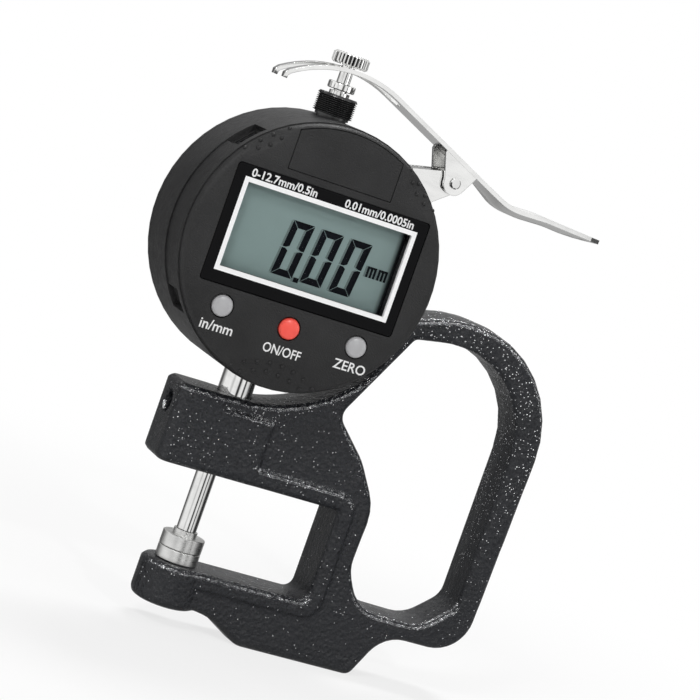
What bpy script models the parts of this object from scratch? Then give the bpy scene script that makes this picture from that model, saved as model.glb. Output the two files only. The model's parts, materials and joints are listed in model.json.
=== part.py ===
"""Digital thickness gauge: a cast frame with a digital indicator clamped in its arm by the stem.

Sizes are in millimetres and become metres when a mesh is made.
X points right, -Y points to the reader and Z runs up the spindle.
The origin is the middle of the anvil's measuring face.
"""
import math

import bmesh
import bpy
from mathutils import Matrix, Vector

MM = 0.001

# Clearances
FIT = 0.15             # radial play of a rod in its bush or a screw in its hole
SEAT_GAP = 0.3         # gap left between faces that touch on the real gauge
CONTACT_GAP = 0.1      # gap left between the two measuring faces
MERGE = 0.03           # how far one casting block stands proud of the next, so that no faces coincide
WEB_INSET = 0.4        # how far the web's parting line stays behind the throat's walls

# Measuring faces and spindle
TRAVEL = 12.7
CONTACT_R = 5.0
CONTACT_H = 3.2
CONTACT_CHAMFER = 0.15
HUB_R = 2.8
HUB_H = 1.2
STUD_R = 1.1
STUD_L = 4.5
ANVIL_H = 3.0
ANVIL_SHANK_R = 2.5
ANVIL_SHANK_L = 7.0
SPINDLE_R = 2.35
ROD_R = 1.55
ROD_END_R = 0.9
CAP_R = 4.3
CAP_H = 2.8
CAP_FLUTES = 24
CAP_FLUTE_DEPTH = 0.35
STOP_R = 3.2
STOP_H = 1.7

# Frame: throat, arms and foot
WEB_T = 12.6
RIM_T = 14.0
EDGE_R = 0.9
PARTING_RIDGE = 0.25
FOOT_Z = -17.35
FOOT_LEFT = 18.6
FOOT_RIGHT = 47.7
ARM_BOTTOM = 19.2
ARM_TOP = 37.4
ARM_LEFT = -14.5
BLOCK_RIGHT = 8.8
BLOCK_CORNER_R = 2.4
BLOCK_STEP_DROP = 2.6
STEP_FADE = (-5.5, -1.5)
THROAT_BACK = 31.3
THROAT_R = 2.3
RIM_W = 4.2
RIM_TOP_H = 4.5        # height of the rim over the throat's roof
RIM_BOTTOM_H = 4.3     # and under its floor
BOSS_R = 7.9
BOSS_H = 9.9
CLAMP_HOLE_R = 2.5
CLAMP_Z = 31.8
CLAMP_SCREW_R = 2.2
CLAMP_SCREW_L = 6.0
CLAMP_HEX = 2.5

# Indicator housing
CASE_R = 30.2
CASE_WALL = 2.0
CASE_FRONT = -17.2
CASE_BACK = 5.6
NECK_H = 5.4           # stem that shows between the arm and the case
DIAL_Z = ARM_TOP + NECK_H + CASE_R
BACK_T = 2.3
BACK_EDGE_R = 1.0
BACK_RIM_W = 7.4
BACK_STEP = 0.4
FACE_Y = -19.0
FACE_INSET = 0.3
FACE_R = CASE_R - FACE_INSET
FACE_EDGE_R = 1.5
FACE_T = 2.4
SPIGOT_DEPTH = 2.0
SPIGOT_T = 1.0
STEM_R = 4.0
STEM_BOTTOM = ARM_BOTTOM + 1.2
STEM_BORE_R = 3.15
STEM_FLANGE_R = 5.2
STEM_FLANGE_H = 1.5
BUSH_L = 8.0
CASE_BOSS_R = 5.5
CASE_BOSS_L = 5.0
COLLAR_R = 4.7
COLLAR_H = 5.3
COLLAR_TOP = DIAL_Z + CASE_R + COLLAR_H
COLLAR_THREADS = 5
COLLAR_THREAD_DEPTH = 0.4
COLLAR_NECK_R = 4.0
COLLAR_NECK_H = 1.0
COLLAR_SPIGOT_R = 3.6
UPPER_BUSH_R = 2.4
UPPER_BUSH_TOP = COLLAR_TOP + 0.8
SCREW_EDGE = 4.4       # distance of the screws from the case's side wall
SCREW_CIRCLE_R = CASE_R - SCREW_EDGE
SCREW_BOSS_R = 2.9
SCREW_BOSS_L = 7.5
SCREW_R = 0.9
SCREW_HEAD_R = 1.9
SCREW_HEAD_H = 1.0

# Frame: cradle and handle, which follow the case
CRADLE_R = CASE_R + NECK_H
CRADLE_W = 5.0
CRADLE_END = -39.0     # where the cradle's arc meets the handle, an angle about the dial's centre
NOSE_X = CASE_R + 1.4
HANDLE_T = 7.0
HANDLE_X = 75.2
HANDLE_TOP = DIAL_Z - 3.6
HANDLE_BOTTOM = -6.2
HANDLE_R = 26.0

# Face: window, buttons, battery, scoops
WINDOW_W = 46.8
WINDOW_H = 26.5
WINDOW_Z = DIAL_Z + 2.25
WINDOW_T = 0.8
WINDOW_CORNER_R = 0.8
WINDOW_PROUD = 0.1
SCREEN_W = 40.0
SCREEN_H = 19.2
SCREEN_Z = WINDOW_Z + 0.1
LCD_W = 42.6
LCD_H = 22.0
LCD_T = 2.4
STRIP_W = 36.0
STRIP_H = 1.6
BUTTON_R = 2.4
BUTTON_PROUD = 0.9
BUTTON_TRAVEL = 0.6
BUTTON_FLANGE_R = 3.1
BUTTON_FLANGE_T = 0.7
SIDE_BUTTON_X = 16.4
SIDE_BUTTON_Z = DIAL_Z - 15.4
MIDDLE_BUTTON_Z = DIAL_Z - 15.9
MEMBRANE_H = 6.4
BATTERY_DOOR_HALF = 12.5
BATTERY_DOOR_EDGE = 1.0
BATTERY_DOOR_R = FACE_R - BATTERY_DOOR_EDGE
BATTERY_DOOR_H = 11.5
BATTERY_DOOR_BOTTOM = DIAL_Z + BATTERY_DOOR_R - BATTERY_DOOR_H
BATTERY_DOOR_T = 1.1
BATTERY_R = 4.75
BATTERY_T = 3.6
BATTERY_Z = BATTERY_DOOR_BOTTOM + 4.9
CONTACT_LEAF_T = 0.3
TRAY_T = 0.5
SIDE_SCOOP_ANGLE = 49.3
SIDE_SCOOP_R = 10.8    # edge radius on the face
SIDE_SCOOP_OFF = 7.7   # distance of its centre from the face's edge
SIDE_SCOOP_DEPTH = 1.3
LOW_SCOOP_R = 20.5
LOW_SCOOP_OFF = 13.8
LOW_SCOOP_DEPTH = 1.6
SCOOP_LIFT = 1.5       # how far the scoop's tool reaches in front of the face
SCOOP_RINGS = 5

# Electronics
BOARD_Y = -12.6
BOARD_T = 1.6
BOARD_R = CASE_R - CASE_WALL - 1.8
POST_R = 1.6
POSTS = ((-9.0, DIAL_Z - 22.5), (9.0, DIAL_Z - 22.5), (15.5, DIAL_Z + 18.5))
ROD_START = DIAL_Z + 3.0
CARRIER_Z = DIAL_Z - TRAVEL - SEAT_GAP
CARRIER_H = 12.0
CARRIER_HALF = 6.0
GUIDE_X = -10.0
GUIDE_R = 1.0
SCALE_T = 0.8
SCALE_H = 22.0
SPRING_R = 3.3
SPRING_TURNS = 7

# Data port in the side wall, angles about the dial's centre
PORT_TOP = 128.4
PORT_END = 221.0
SLIDE_TOP = 142.2
SLIDE_END = 211.0
PORT_Y = (-15.2, -6.8)
PORT_DEPTH = 1.35
SLIDE_T = 0.9
CONNECTOR_ANGLE = 135.0
CONNECTOR_W = 4.6
CONNECTOR_T = 2.8
CONNECTOR_L = 5.0
CONNECTOR_WALL = 0.6

# Lifting lever
PIVOT_ANGLE = 38.44
PIVOT_REACH = 10.655   # distance of the pin from the case's side wall
PIVOT_X = (CASE_R + PIVOT_REACH) * math.cos(math.radians(PIVOT_ANGLE))
PIVOT_Z = DIAL_Z + (CASE_R + PIVOT_REACH) * math.sin(math.radians(PIVOT_ANGLE))
SHEET_T = 1.0
LEVER_W = 8.8
LEVER_SLOT_W = 5.2
LEVER_SLOT_END = 14.6
FORK_ROOM = 2.7        # free height between the stop collar and the fork
STOP_Z = UPPER_BUSH_TOP + SEAT_GAP
FORK_TOP_Z = STOP_Z + STOP_H + FORK_ROOM + SHEET_T
FORK_TOP_R = 28.6
FORK_TOP_X = 1.0
FORK_TIP_ANGLE = 122.5
LEVER_SLOPE = 23.6
CAP_Z = FORK_TOP_Z + SEAT_GAP
PAD_DROP = 1.5
PAD_Z = PIVOT_Z - PAD_DROP
PAD_REACH = 40.5
PAD_END_X = PIVOT_X + PAD_REACH
PAD_W = 10.4
PAD_CORNER_R = 3.4
PAD_DISH = 1.1
EAR_T = 0.8
EAR_R = 2.8
EAR_LEFT = 4.4         # the ears' reach along the lever, each way from the pin
EAR_RIGHT = 4.9
DISH_START_X = PIVOT_X + EAR_RIGHT + SEAT_GAP
DISH_FADE = 7.0
BRACKET_T = 0.8
BRACKET_W = 6.2
BRACKET_ANGLES = (33.0, 52.0)
CHEEK_R = 2.5
PIN_R = 0.8
PIN_HEAD_R = 1.3
PIN_HEAD_H = 0.5
COIL_R = 1.6
COIL_TURNS = 3
WIRE_R = 0.25

RING = 56          # segments of a large circle
ROUND = 20         # segments of a small one
SMALL = 10         # segments of a screw


def clear_scene():
    for item in list(bpy.data.objects):
        bpy.data.objects.remove(item, do_unlink=True)


def finish(name, colour, roughness, metallic):
    made = bpy.data.materials.new(name)
    made.use_nodes = True
    shader = made.node_tree.nodes["Principled BSDF"]
    shader.inputs["Base Color"].default_value = (*colour, 1.0)
    shader.inputs["Roughness"].default_value = roughness
    shader.inputs["Metallic"].default_value = metallic
    return made


def make_object(name, bm, material=None, pivot=(0.0, 0.0, 0.0), angle=35.0):
    """Turn a bmesh in millimetres into an object in metres whose origin is pivot."""
    bmesh.ops.remove_doubles(bm, verts=bm.verts, dist=1e-4)
    bmesh.ops.recalc_face_normals(bm, faces=bm.faces)
    shift = Vector(pivot)
    for vert in bm.verts:
        vert.co = (vert.co - shift) * MM
    mesh = bpy.data.meshes.new(name)
    bm.to_mesh(mesh)
    bm.free()
    mesh.shade_smooth()
    mesh.set_sharp_from_angle(angle=math.radians(angle))
    made = bpy.data.objects.new(name, mesh)
    made.location = shift * MM
    bpy.context.collection.objects.link(made)
    if material is not None:
        mesh.materials.append(material)
    return made


def combine(target, tool_mesh, operation, label):
    """Add a boolean whose tool is a hidden wire object."""
    tool = make_object(f"{target.name}_{label}_tool", tool_mesh)
    tool.hide_render = True
    tool.display_type = "WIRE"
    step = target.modifiers.new(label, "BOOLEAN")
    step.operation = operation
    step.object = tool
    step.solver = "EXACT"
    return tool


def join(*meshes):
    """Put several bmeshes into the first one."""
    first = meshes[0]
    for other in meshes[1:]:
        copy = bpy.data.meshes.new("join")
        other.to_mesh(copy)
        other.free()
        first.from_mesh(copy)
        bpy.data.meshes.remove(copy)
    return first


def arc(cx, cz, radius, start, end, steps):
    """Points of a circular arc in the XZ plane, angles in degrees."""
    out = []
    for k in range(steps + 1):
        a = math.radians(start + (end - start) * k / steps)
        out.append((cx + radius * math.cos(a), cz + radius * math.sin(a)))
    return out


def rounded(corners, step_angle=12.0, closed=True):
    """Polyline through corners (x, z, radius) with each corner rounded by its radius."""
    out = []
    count = len(corners)
    for k in range(count):
        x, z, radius = (*corners[k], 0.0)[:3]
        here = Vector((x, z))
        if radius <= 0.0 or (not closed and k in (0, count - 1)):
            out.append((x, z))
            continue
        to_last = (Vector(corners[k - 1][:2]) - here).normalized()
        to_next = (Vector(corners[(k + 1) % count][:2]) - here).normalized()
        half = math.acos(max(-1.0, min(1.0, to_last.dot(to_next)))) / 2.0
        reach = radius / math.tan(half)
        centre = here + (to_last + to_next).normalized() * radius / math.sin(half)
        start = here + to_last * reach - centre
        turn = start.angle_signed(here + to_next * reach - centre)
        steps = max(2, round(abs(math.degrees(turn)) / step_angle))
        for j in range(steps + 1):
            a = -turn * j / steps
            x1 = start.x * math.cos(a) - start.y * math.sin(a)
            z1 = start.x * math.sin(a) + start.y * math.cos(a)
            out.append((centre.x + x1, centre.y + z1))
    return out


def signed_area(loop):
    total = 0.0
    for (x0, z0), (x1, z1) in zip(loop, loop[1:] + loop[:1]):
        total += x0 * z1 - x1 * z0
    return total / 2.0


def inset(loop, distance):
    """Move a counter-clockwise loop inwards by distance, a clockwise one outwards."""
    out = []
    count = len(loop)
    for k in range(count):
        last = Vector(loop[k - 1])
        here = Vector(loop[k])
        after = Vector(loop[(k + 1) % count])
        d0 = (here - last).normalized()
        d1 = (after - here).normalized()
        normal = Vector((-d0.y - d1.y, d0.x + d1.x))
        normal.normalize()
        scale = distance / max(0.35, normal.dot(Vector((-d0.y, d0.x))))
        out.append((here.x + normal.x * scale, here.y + normal.y * scale))
    return out


def plate(outline, holes, profile):
    """Solid between outline and holes; profile gives (inset, y) of each ring from front to back."""
    loops = [outline if signed_area(outline) > 0 else outline[::-1]]
    loops += [hole if signed_area(hole) < 0 else hole[::-1] for hole in holes]
    bm = bmesh.new()
    ends = ([], [])
    for loop in loops:
        rings = []
        for distance, y in profile:
            moved = inset(loop, distance) if distance else loop
            rings.append([bm.verts.new((x, y, z)) for x, z in moved])
        for near, far in zip(rings, rings[1:]):
            for k in range(len(near)):
                n = (k + 1) % len(near)
                bm.faces.new((near[k], near[n], far[n], far[k]))
        for end, ring in zip(ends, (rings[0], rings[-1])):
            for k in range(len(ring)):
                end.append(bm.edges.get((ring[k], ring[(k + 1) % len(ring)])))
    for end in ends:
        bmesh.ops.triangle_fill(bm, use_beauty=True, edges=end)
    return bm


def soft_profile(half, radius, ridge=0.0):
    """Front-to-back profile of a plate with bevelled edges and a ridge along its parting line."""
    near = [(radius, -half), (0.0, -half + radius)]
    middle = [(-ridge, 0.0)] if ridge else []
    far = [(distance, -y) for distance, y in reversed(near)]
    return near + middle + far


def flat(outline, y0, y1, holes=()):
    return plate(outline, list(holes), [(0.0, y0), (0.0, y1)])


def lathe(profile, steps, axis="Z", at=(0.0, 0.0, 0.0), closed=False):
    """Revolve (radius, height) points about an axis through at."""
    bm = bmesh.new()
    rings = []
    for radius, height in profile:
        if radius < 1e-6:
            rings.append([bm.verts.new((0.0, 0.0, height))])
            continue
        ring = []
        for k in range(steps):
            a = 2.0 * math.pi * (k + 0.5) / steps
            ring.append(bm.verts.new((radius * math.cos(a), radius * math.sin(a), height)))
        rings.append(ring)
    pairs = list(zip(rings, rings[1:]))
    if closed:
        pairs.append((rings[-1], rings[0]))
    for low, high in pairs:
        for k in range(steps):
            n = (k + 1) % steps
            corners = [low[k % len(low)], low[n % len(low)], high[n % len(high)], high[k % len(high)]]
            unique = list(dict.fromkeys(corners))
            if len(unique) > 2:
                bm.faces.new(unique)
    if axis == "Y":
        bm.transform(Matrix.Rotation(math.radians(-90.0), 4, "X"))
    if axis == "X":
        bm.transform(Matrix.Rotation(math.radians(90.0), 4, "Y"))
    bm.transform(Matrix.Translation(at))
    return bm


def rod(radius, low, high, steps=ROUND, axis="Z", at=(0.0, 0.0, 0.0), chamfer=0.0):
    points = [(0.0, low), (radius - chamfer, low), (radius, low + chamfer)]
    points += [(radius, high - chamfer), (radius - chamfer, high), (0.0, high)]
    if chamfer == 0.0:
        points = [(0.0, low), (radius, low), (radius, high), (0.0, high)]
    return lathe(points, steps, axis, at)


def tube(outer, inner, low, high, steps=ROUND, axis="Z", at=(0.0, 0.0, 0.0)):
    points = [(inner, low), (outer, low), (outer, high), (inner, high)]
    return lathe(points, steps, axis, at, closed=True)


def box(x0, x1, y0, y1, z0, z1):
    bm = bmesh.new()
    bmesh.ops.create_cube(bm, size=1.0)
    size = Matrix.Diagonal((x1 - x0, y1 - y0, z1 - z0, 1.0))
    bm.transform(Matrix.Translation(((x0 + x1) / 2, (y0 + y1) / 2, (z0 + z1) / 2)) @ size)
    return bm


def rectangle(half_w, low, high, radius):
    lower = [(-half_w, low, radius), (half_w, low, radius)]
    upper = [(half_w, high, radius), (-half_w, high, radius)]
    return rounded(lower + upper, step_angle=30.0)


def sector(inner, outer, start, end, y0, y1, steps):
    """Part of a ring about the dial's centre, between two angles."""
    outside = arc(0.0, DIAL_Z, outer, start, end, steps)
    inside = arc(0.0, DIAL_Z, inner, end, start, steps)
    return flat(outside + inside, y0, y1)


def sweep(path, radius, sides):
    """Round wire along a path of points, with flat ends."""
    bm = bmesh.new()
    rings = []
    side = None
    for k, point in enumerate(path):
        here = Vector(point)
        ahead = Vector(path[min(k + 1, len(path) - 1)])
        behind = Vector(path[max(k - 1, 0)])
        along = (ahead - behind).normalized()
        if side is None:
            side = along.orthogonal().normalized()
        side = (side - along * side.dot(along)).normalized()
        up = along.cross(side)
        ring = []
        for j in range(sides):
            a = 2.0 * math.pi * j / sides
            ring.append(bm.verts.new(here + (side * math.cos(a) + up * math.sin(a)) * radius))
        rings.append(ring)
    for low, high in zip(rings, rings[1:]):
        for j in range(sides):
            n = (j + 1) % sides
            bm.faces.new((low[j], low[n], high[n], high[j]))
    bm.faces.new(rings[0][::-1])
    bm.faces.new(rings[-1])
    return bm


def radial(bm, angle, radius, y=0.0):
    """Turn a part built along +Z so that +Z points away from the dial's centre at angle."""
    turn = Matrix.Rotation(math.radians(90.0 - angle), 4, "Y")
    place = Matrix.Translation((0.0, y, DIAL_Z))
    bm.transform(place @ turn @ Matrix.Translation((0.0, 0.0, radius)))
    return bm


# Frame casting

def web_outline():
    """Outer edge of the thinner web and the handle, counter-clockwise from the arm's top."""
    cradle_start = math.degrees(math.asin(4.6 / CRADLE_R)) - 90.0
    cradle = arc(0.0, DIAL_Z, CRADLE_R, CRADLE_END, cradle_start, 12)
    roof = ARM_BOTTOM + WEB_INSET
    floor = -ANVIL_H - WEB_INSET
    under = -ANVIL_H - BOSS_H + 1.1
    outline = [(0.5, ARM_TOP - 0.6), (0.5, roof)]
    outline += rounded([
        outline[-1],
        (THROAT_BACK + WEB_INSET, roof, 1.0),
        (THROAT_BACK + WEB_INSET, floor, THROAT_R),
        (0.0, floor),
        (0.0, under),
        (4.4, under),
        (10.2, under - 0.8, 10.0),
        (FOOT_LEFT, FOOT_Z, 4.5),
        (FOOT_RIGHT, FOOT_Z, 2.2),
        (FOOT_RIGHT + 5.5, HANDLE_BOTTOM, 8.5),
        (HANDLE_X - 1.7, HANDLE_BOTTOM, 9.0),
        (HANDLE_X, HANDLE_TOP, HANDLE_R),
        (NOSE_X + 11.4, HANDLE_TOP, 28.0),
        (NOSE_X, HANDLE_TOP - 3.6, 1.6),
        (NOSE_X - 0.6, HANDLE_TOP - 9.4, 14.0),
        cradle[0],
    ], step_angle=11.0, closed=False)[1:-1]
    return outline + cradle


def handle_opening():
    """Edge of the hand-grip opening."""
    corner = math.radians(CRADLE_END - 14.8)
    reach = CRADLE_R + CRADLE_W
    inner_x = HANDLE_X - HANDLE_T
    return rounded([
        (NOSE_X + 3.8, HANDLE_TOP - 7.4, 1.6),
        (reach * math.cos(corner), DIAL_Z + reach * math.sin(corner), 3.2),
        (THROAT_BACK + 1.7, ARM_TOP - 5.7, 14.0),
        (THROAT_BACK + 8.3, ARM_BOTTOM + 2.8, 12.0),
        (THROAT_BACK + 7.9, 7.0, 9.0),
        (THROAT_BACK + 12.7, HANDLE_BOTTOM + 4.5, 9.0),
        (inner_x - 7.6, HANDLE_BOTTOM + 4.2, 9.0),
        (inner_x, HANDLE_BOTTOM + 11.2, 5.0),
        (inner_x - 0.2, HANDLE_TOP - 6.0, HANDLE_R - 4.5),
        (NOSE_X + 12.9, HANDLE_TOP - 5.8, 26.0),
    ], step_angle=12.0)


def rim_outline():
    """C-shaped raised rim round the throat."""
    roof = ARM_BOTTOM + MERGE
    floor = -ANVIL_H - MERGE
    outer = THROAT_BACK + RIM_W
    return rounded([
        (4.0, roof),
        (THROAT_BACK, roof, 0.9),
        (THROAT_BACK, floor, THROAT_R),
        (2.0, floor),
        (2.0, floor - RIM_BOTTOM_H),
        (outer, floor - RIM_BOTTOM_H, 5.0),
        (outer, roof + RIM_TOP_H, 5.5),
        (4.0, roof + RIM_TOP_H),
    ], step_angle=18.0)


def arm_block():
    """Thick clamp block round the stem, with a stepped top edge and rounded ends."""
    half = RIM_T / 2
    low_half = WEB_T / 2 - MERGE * 2
    step = half - low_half
    step_z = ARM_TOP - BLOCK_STEP_DROP
    levels = [
        (ARM_BOTTOM, EDGE_R, half),
        (ARM_BOTTOM + EDGE_R, 0.0, half),
        (step_z - step, 0.0, half),
        (step_z, 0.0, low_half),
        (ARM_TOP - EDGE_R, 0.0, low_half),
        (ARM_TOP, EDGE_R, low_half),
    ]
    bm = bmesh.new()
    rings = []
    for z, inward, right_half in levels:
        left = ARM_LEFT + inward
        wide = half - inward
        narrow = right_half - inward
        corner = BLOCK_CORNER_R - inward * 0.5
        side = [(BLOCK_RIGHT + step, low_half - inward - MERGE), (BLOCK_RIGHT, narrow)]
        side += [(STEP_FADE[1], narrow), (STEP_FADE[0], wide)]
        side += arc(left + corner, wide - corner, corner, 90.0, 180.0, 5)
        ring = [bm.verts.new((x, y, z)) for x, y in side]
        ring += [bm.verts.new((x, -y, z)) for x, y in reversed(side)]
        rings.append(ring)
    for low, high in zip(rings, rings[1:]):
        for k in range(len(low)):
            n = (k + 1) % len(low)
            bm.faces.new((low[k], low[n], high[n], high[k]))
    bm.faces.new(rings[0][::-1])
    bm.faces.new(rings[-1])
    return bm


def anvil_boss():
    """Round end of the lower arm, under the anvil."""
    bottom = -ANVIL_H - BOSS_H
    return lathe([
        (0.0, bottom), (BOSS_R - 1.6, bottom), (BOSS_R - 0.5, bottom + 0.5), (BOSS_R, bottom + 1.6),
        (BOSS_R, -ANVIL_H - EDGE_R), (BOSS_R - EDGE_R, -ANVIL_H), (0.0, -ANVIL_H),
    ], 24)


def build_frame(paint):
    web = plate(web_outline(), [handle_opening()], soft_profile(WEB_T / 2, EDGE_R, PARTING_RIDGE))
    frame = make_object("frame", web, paint, angle=40.0)
    rim = plate(rim_outline(), [], soft_profile(RIM_T / 2 - MERGE, EDGE_R))
    combine(frame, rim, "UNION", "rim")
    combine(frame, arm_block(), "UNION", "clamp_block")
    combine(frame, anvil_boss(), "UNION", "anvil_boss")
    stem_bore = rod(STEM_R + FIT, ARM_BOTTOM - 1.0, ARM_TOP + 1.0)
    shank_bore = rod(ANVIL_SHANK_R + FIT, -ANVIL_H - ANVIL_SHANK_L - SEAT_GAP, -ANVIL_H + 1.0)
    hole = rod(CLAMP_HOLE_R, ARM_LEFT - 1.0, -1.0, ROUND, "X", (0.0, 0.0, CLAMP_Z))
    combine(frame, join(stem_bore, shank_bore), "DIFFERENCE", "bores")
    combine(frame, hole, "DIFFERENCE", "clamp_hole")
    ground = box(FOOT_LEFT - 4.0, FOOT_RIGHT + 4.0, -WEB_T, WEB_T, FOOT_Z - 2.0, FOOT_Z - MERGE)
    combine(frame, ground, "DIFFERENCE", "ground_foot")
    return frame


def build_clamp_parts(steel, dark_steel):
    under = -ANVIL_H + CONTACT_GAP
    shank_end = -ANVIL_H - ANVIL_SHANK_L
    anvil = lathe([
        (0.0, 0.0), (CONTACT_R - CONTACT_CHAMFER, 0.0), (CONTACT_R, -CONTACT_CHAMFER),
        (CONTACT_R, under + CONTACT_CHAMFER), (CONTACT_R - CONTACT_CHAMFER, under), (ANVIL_SHANK_R, under),
        (ANVIL_SHANK_R, shank_end + 0.3), (ANVIL_SHANK_R - 0.3, shank_end), (0.0, shank_end),
    ], ROUND)
    make_object("anvil", anvil, steel)
    inner = -STEM_R - FIT
    outer = inner - CLAMP_SCREW_L
    screw = rod(CLAMP_SCREW_R, outer, inner, ROUND, "X", (0.0, 0.0, CLAMP_Z), 0.3)
    made = make_object("stem_clamp_screw", screw, dark_steel)
    depth = CLAMP_SCREW_L * 0.4
    socket = rod(CLAMP_HEX / math.sqrt(3.0), outer - 1.0, outer + depth, 6, "X", (0.0, 0.0, CLAMP_Z))
    combine(made, socket, "DIFFERENCE", "hex_socket")


# Indicator housing

def build_rear_case(plastic):
    inner = CASE_R - CASE_WALL
    shell = tube(CASE_R, inner, CASE_FRONT, CASE_BACK, RING, "Y", (0.0, 0.0, DIAL_Z))
    case = make_object("rear_case", shell, plastic)
    low = DIAL_Z - inner - CASE_WALL / 2
    high = DIAL_Z + inner + CASE_WALL / 2
    bosses = [rod(CASE_BOSS_R, low, low + CASE_BOSS_L + 1.0), rod(CASE_BOSS_R, high - CASE_BOSS_L, high)]
    for x, z in screw_places():
        boss_back = CASE_BACK - MERGE
        bosses.append(rod(SCREW_BOSS_R, boss_back - SCREW_BOSS_L, boss_back, 16, "Y", (x, 0.0, z)))
    combine(case, join(*bosses), "UNION", "bosses")
    groove = sector(CASE_R - PORT_DEPTH, CASE_R + 1.0, PORT_TOP, PORT_END, PORT_Y[0], PORT_Y[1], 26)
    cuts = [groove]
    reach = inner - CASE_BOSS_L - 4.0
    cuts.append(rod(STEM_R + FIT, DIAL_Z - CASE_R - 2.0, DIAL_Z - reach))
    cuts.append(rod(COLLAR_SPIGOT_R + FIT, DIAL_Z + reach, DIAL_Z + CASE_R + 2.0))
    for x, z in screw_places():
        cuts.append(rod(SCREW_R + FIT, CASE_BACK - 6.4, CASE_BACK + 1.0, 10, "Y", (x, 0.0, z)))
    for angle in bracket_screw_angles():
        cuts.append(radial(rod(SCREW_R + FIT, -CASE_WALL - 1.0, 1.0, 12), angle, CASE_R))
    combine(case, join(*cuts), "DIFFERENCE", "holes")
    half = CONNECTOR_W / 2 + SEAT_GAP
    port_back = BOARD_Y + BOARD_T + CONNECTOR_T + SEAT_GAP * 2
    port = box(-half, half, BOARD_Y + BOARD_T, port_back, -CASE_WALL - 1.0, 1.0)
    combine(case, radial(port, CONNECTOR_ANGLE, CASE_R), "DIFFERENCE", "port")
    return case


def screw_places():
    reach = SCREW_CIRCLE_R * math.sqrt(0.5)
    signs = ((-1, -1), (1, -1), (1, 1), (-1, 1))
    return [(reach * x, DIAL_Z + reach * z) for x, z in signs]


def bracket_screw_angles():
    low = BRACKET_ANGLES[0]
    return (low + 2.0, low + 11.0)


def build_back_cover(plastic, screw_steel):
    front = CASE_BACK + SEAT_GAP / 2
    back = front + BACK_T
    edge = BACK_EDGE_R
    disc = lathe([
        (0.0, front), (CASE_R, front), (CASE_R, back - edge),
        (CASE_R - edge * 0.29, back - edge * 0.29), (CASE_R - edge, back),
        (CASE_R - BACK_RIM_W, back), (CASE_R - BACK_RIM_W - BACK_STEP, back - BACK_STEP),
        (0.0, back - BACK_STEP),
    ], RING, "Y", (0.0, 0.0, DIAL_Z))
    cover = make_object("back_cover", disc, plastic)
    seat = back - SCREW_HEAD_H - FIT
    cuts = []
    for x, z in screw_places():
        cuts.append(lathe([
            (0.0, front - 1.0), (SCREW_R + FIT, front - 1.0), (SCREW_R + FIT, seat),
            (SCREW_HEAD_R + FIT, seat), (SCREW_HEAD_R + FIT, back + 1.0), (0.0, back + 1.0),
        ], 16, "Y", (x, 0.0, z)))
    combine(cover, join(*cuts), "DIFFERENCE", "screw_holes")
    for number, (x, z) in enumerate(screw_places(), start=1):
        head = seat + FIT
        screw = lathe([
            (0.0, CASE_BACK - 6.0), (SCREW_R, CASE_BACK - 6.0), (SCREW_R, head), (SCREW_HEAD_R, head),
            (SCREW_HEAD_R, head + 0.5), (SCREW_HEAD_R - 0.4, head + 0.8), (0.0, head + 0.8),
        ], SMALL, "Y", (x, 0.0, z))
        made = make_object(f"cover_screw_{number}", screw, screw_steel)
        slot = box(x - 1.1, x + 1.1, head + 0.3, head + 2.0, z - 0.2, z + 0.2)
        combine(made, slot, "DIFFERENCE", "slot")


def battery_door_outline(grow=0.0):
    """Outline of the battery door, a slice of the face under its top edge."""
    half = BATTERY_DOOR_HALF + grow
    bottom = BATTERY_DOOR_BOTTOM - grow
    radius = BATTERY_DOOR_R + grow
    side = math.degrees(math.acos(half / radius))
    top = arc(0.0, DIAL_Z, radius, side, 180.0 - side, 10)
    return [(-half, bottom), (half, bottom)] + top


def scoop_tool(edge_radius, off, depth, angle):
    """Lens that scoops the face: a sphere cap whose axis lies outside the face's edge."""
    height = (edge_radius ** 2 - off ** 2 - depth ** 2) / (2.0 * depth)
    sphere = math.hypot(height, edge_radius)
    top = math.sqrt(sphere ** 2 - (height - SCOOP_LIFT) ** 2)
    profile = [(0.0, FACE_Y - SCOOP_LIFT)]
    for k in range(SCOOP_RINGS + 1):
        radius = top * (1.0 - k / SCOOP_RINGS)
        profile.append((radius, FACE_Y - height + math.sqrt(sphere ** 2 - radius ** 2)))
    a = math.radians(angle)
    reach = FACE_R + off
    return lathe(profile, 28, "Y", (reach * math.cos(a), 0.0, DIAL_Z + reach * math.sin(a)))


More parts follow.
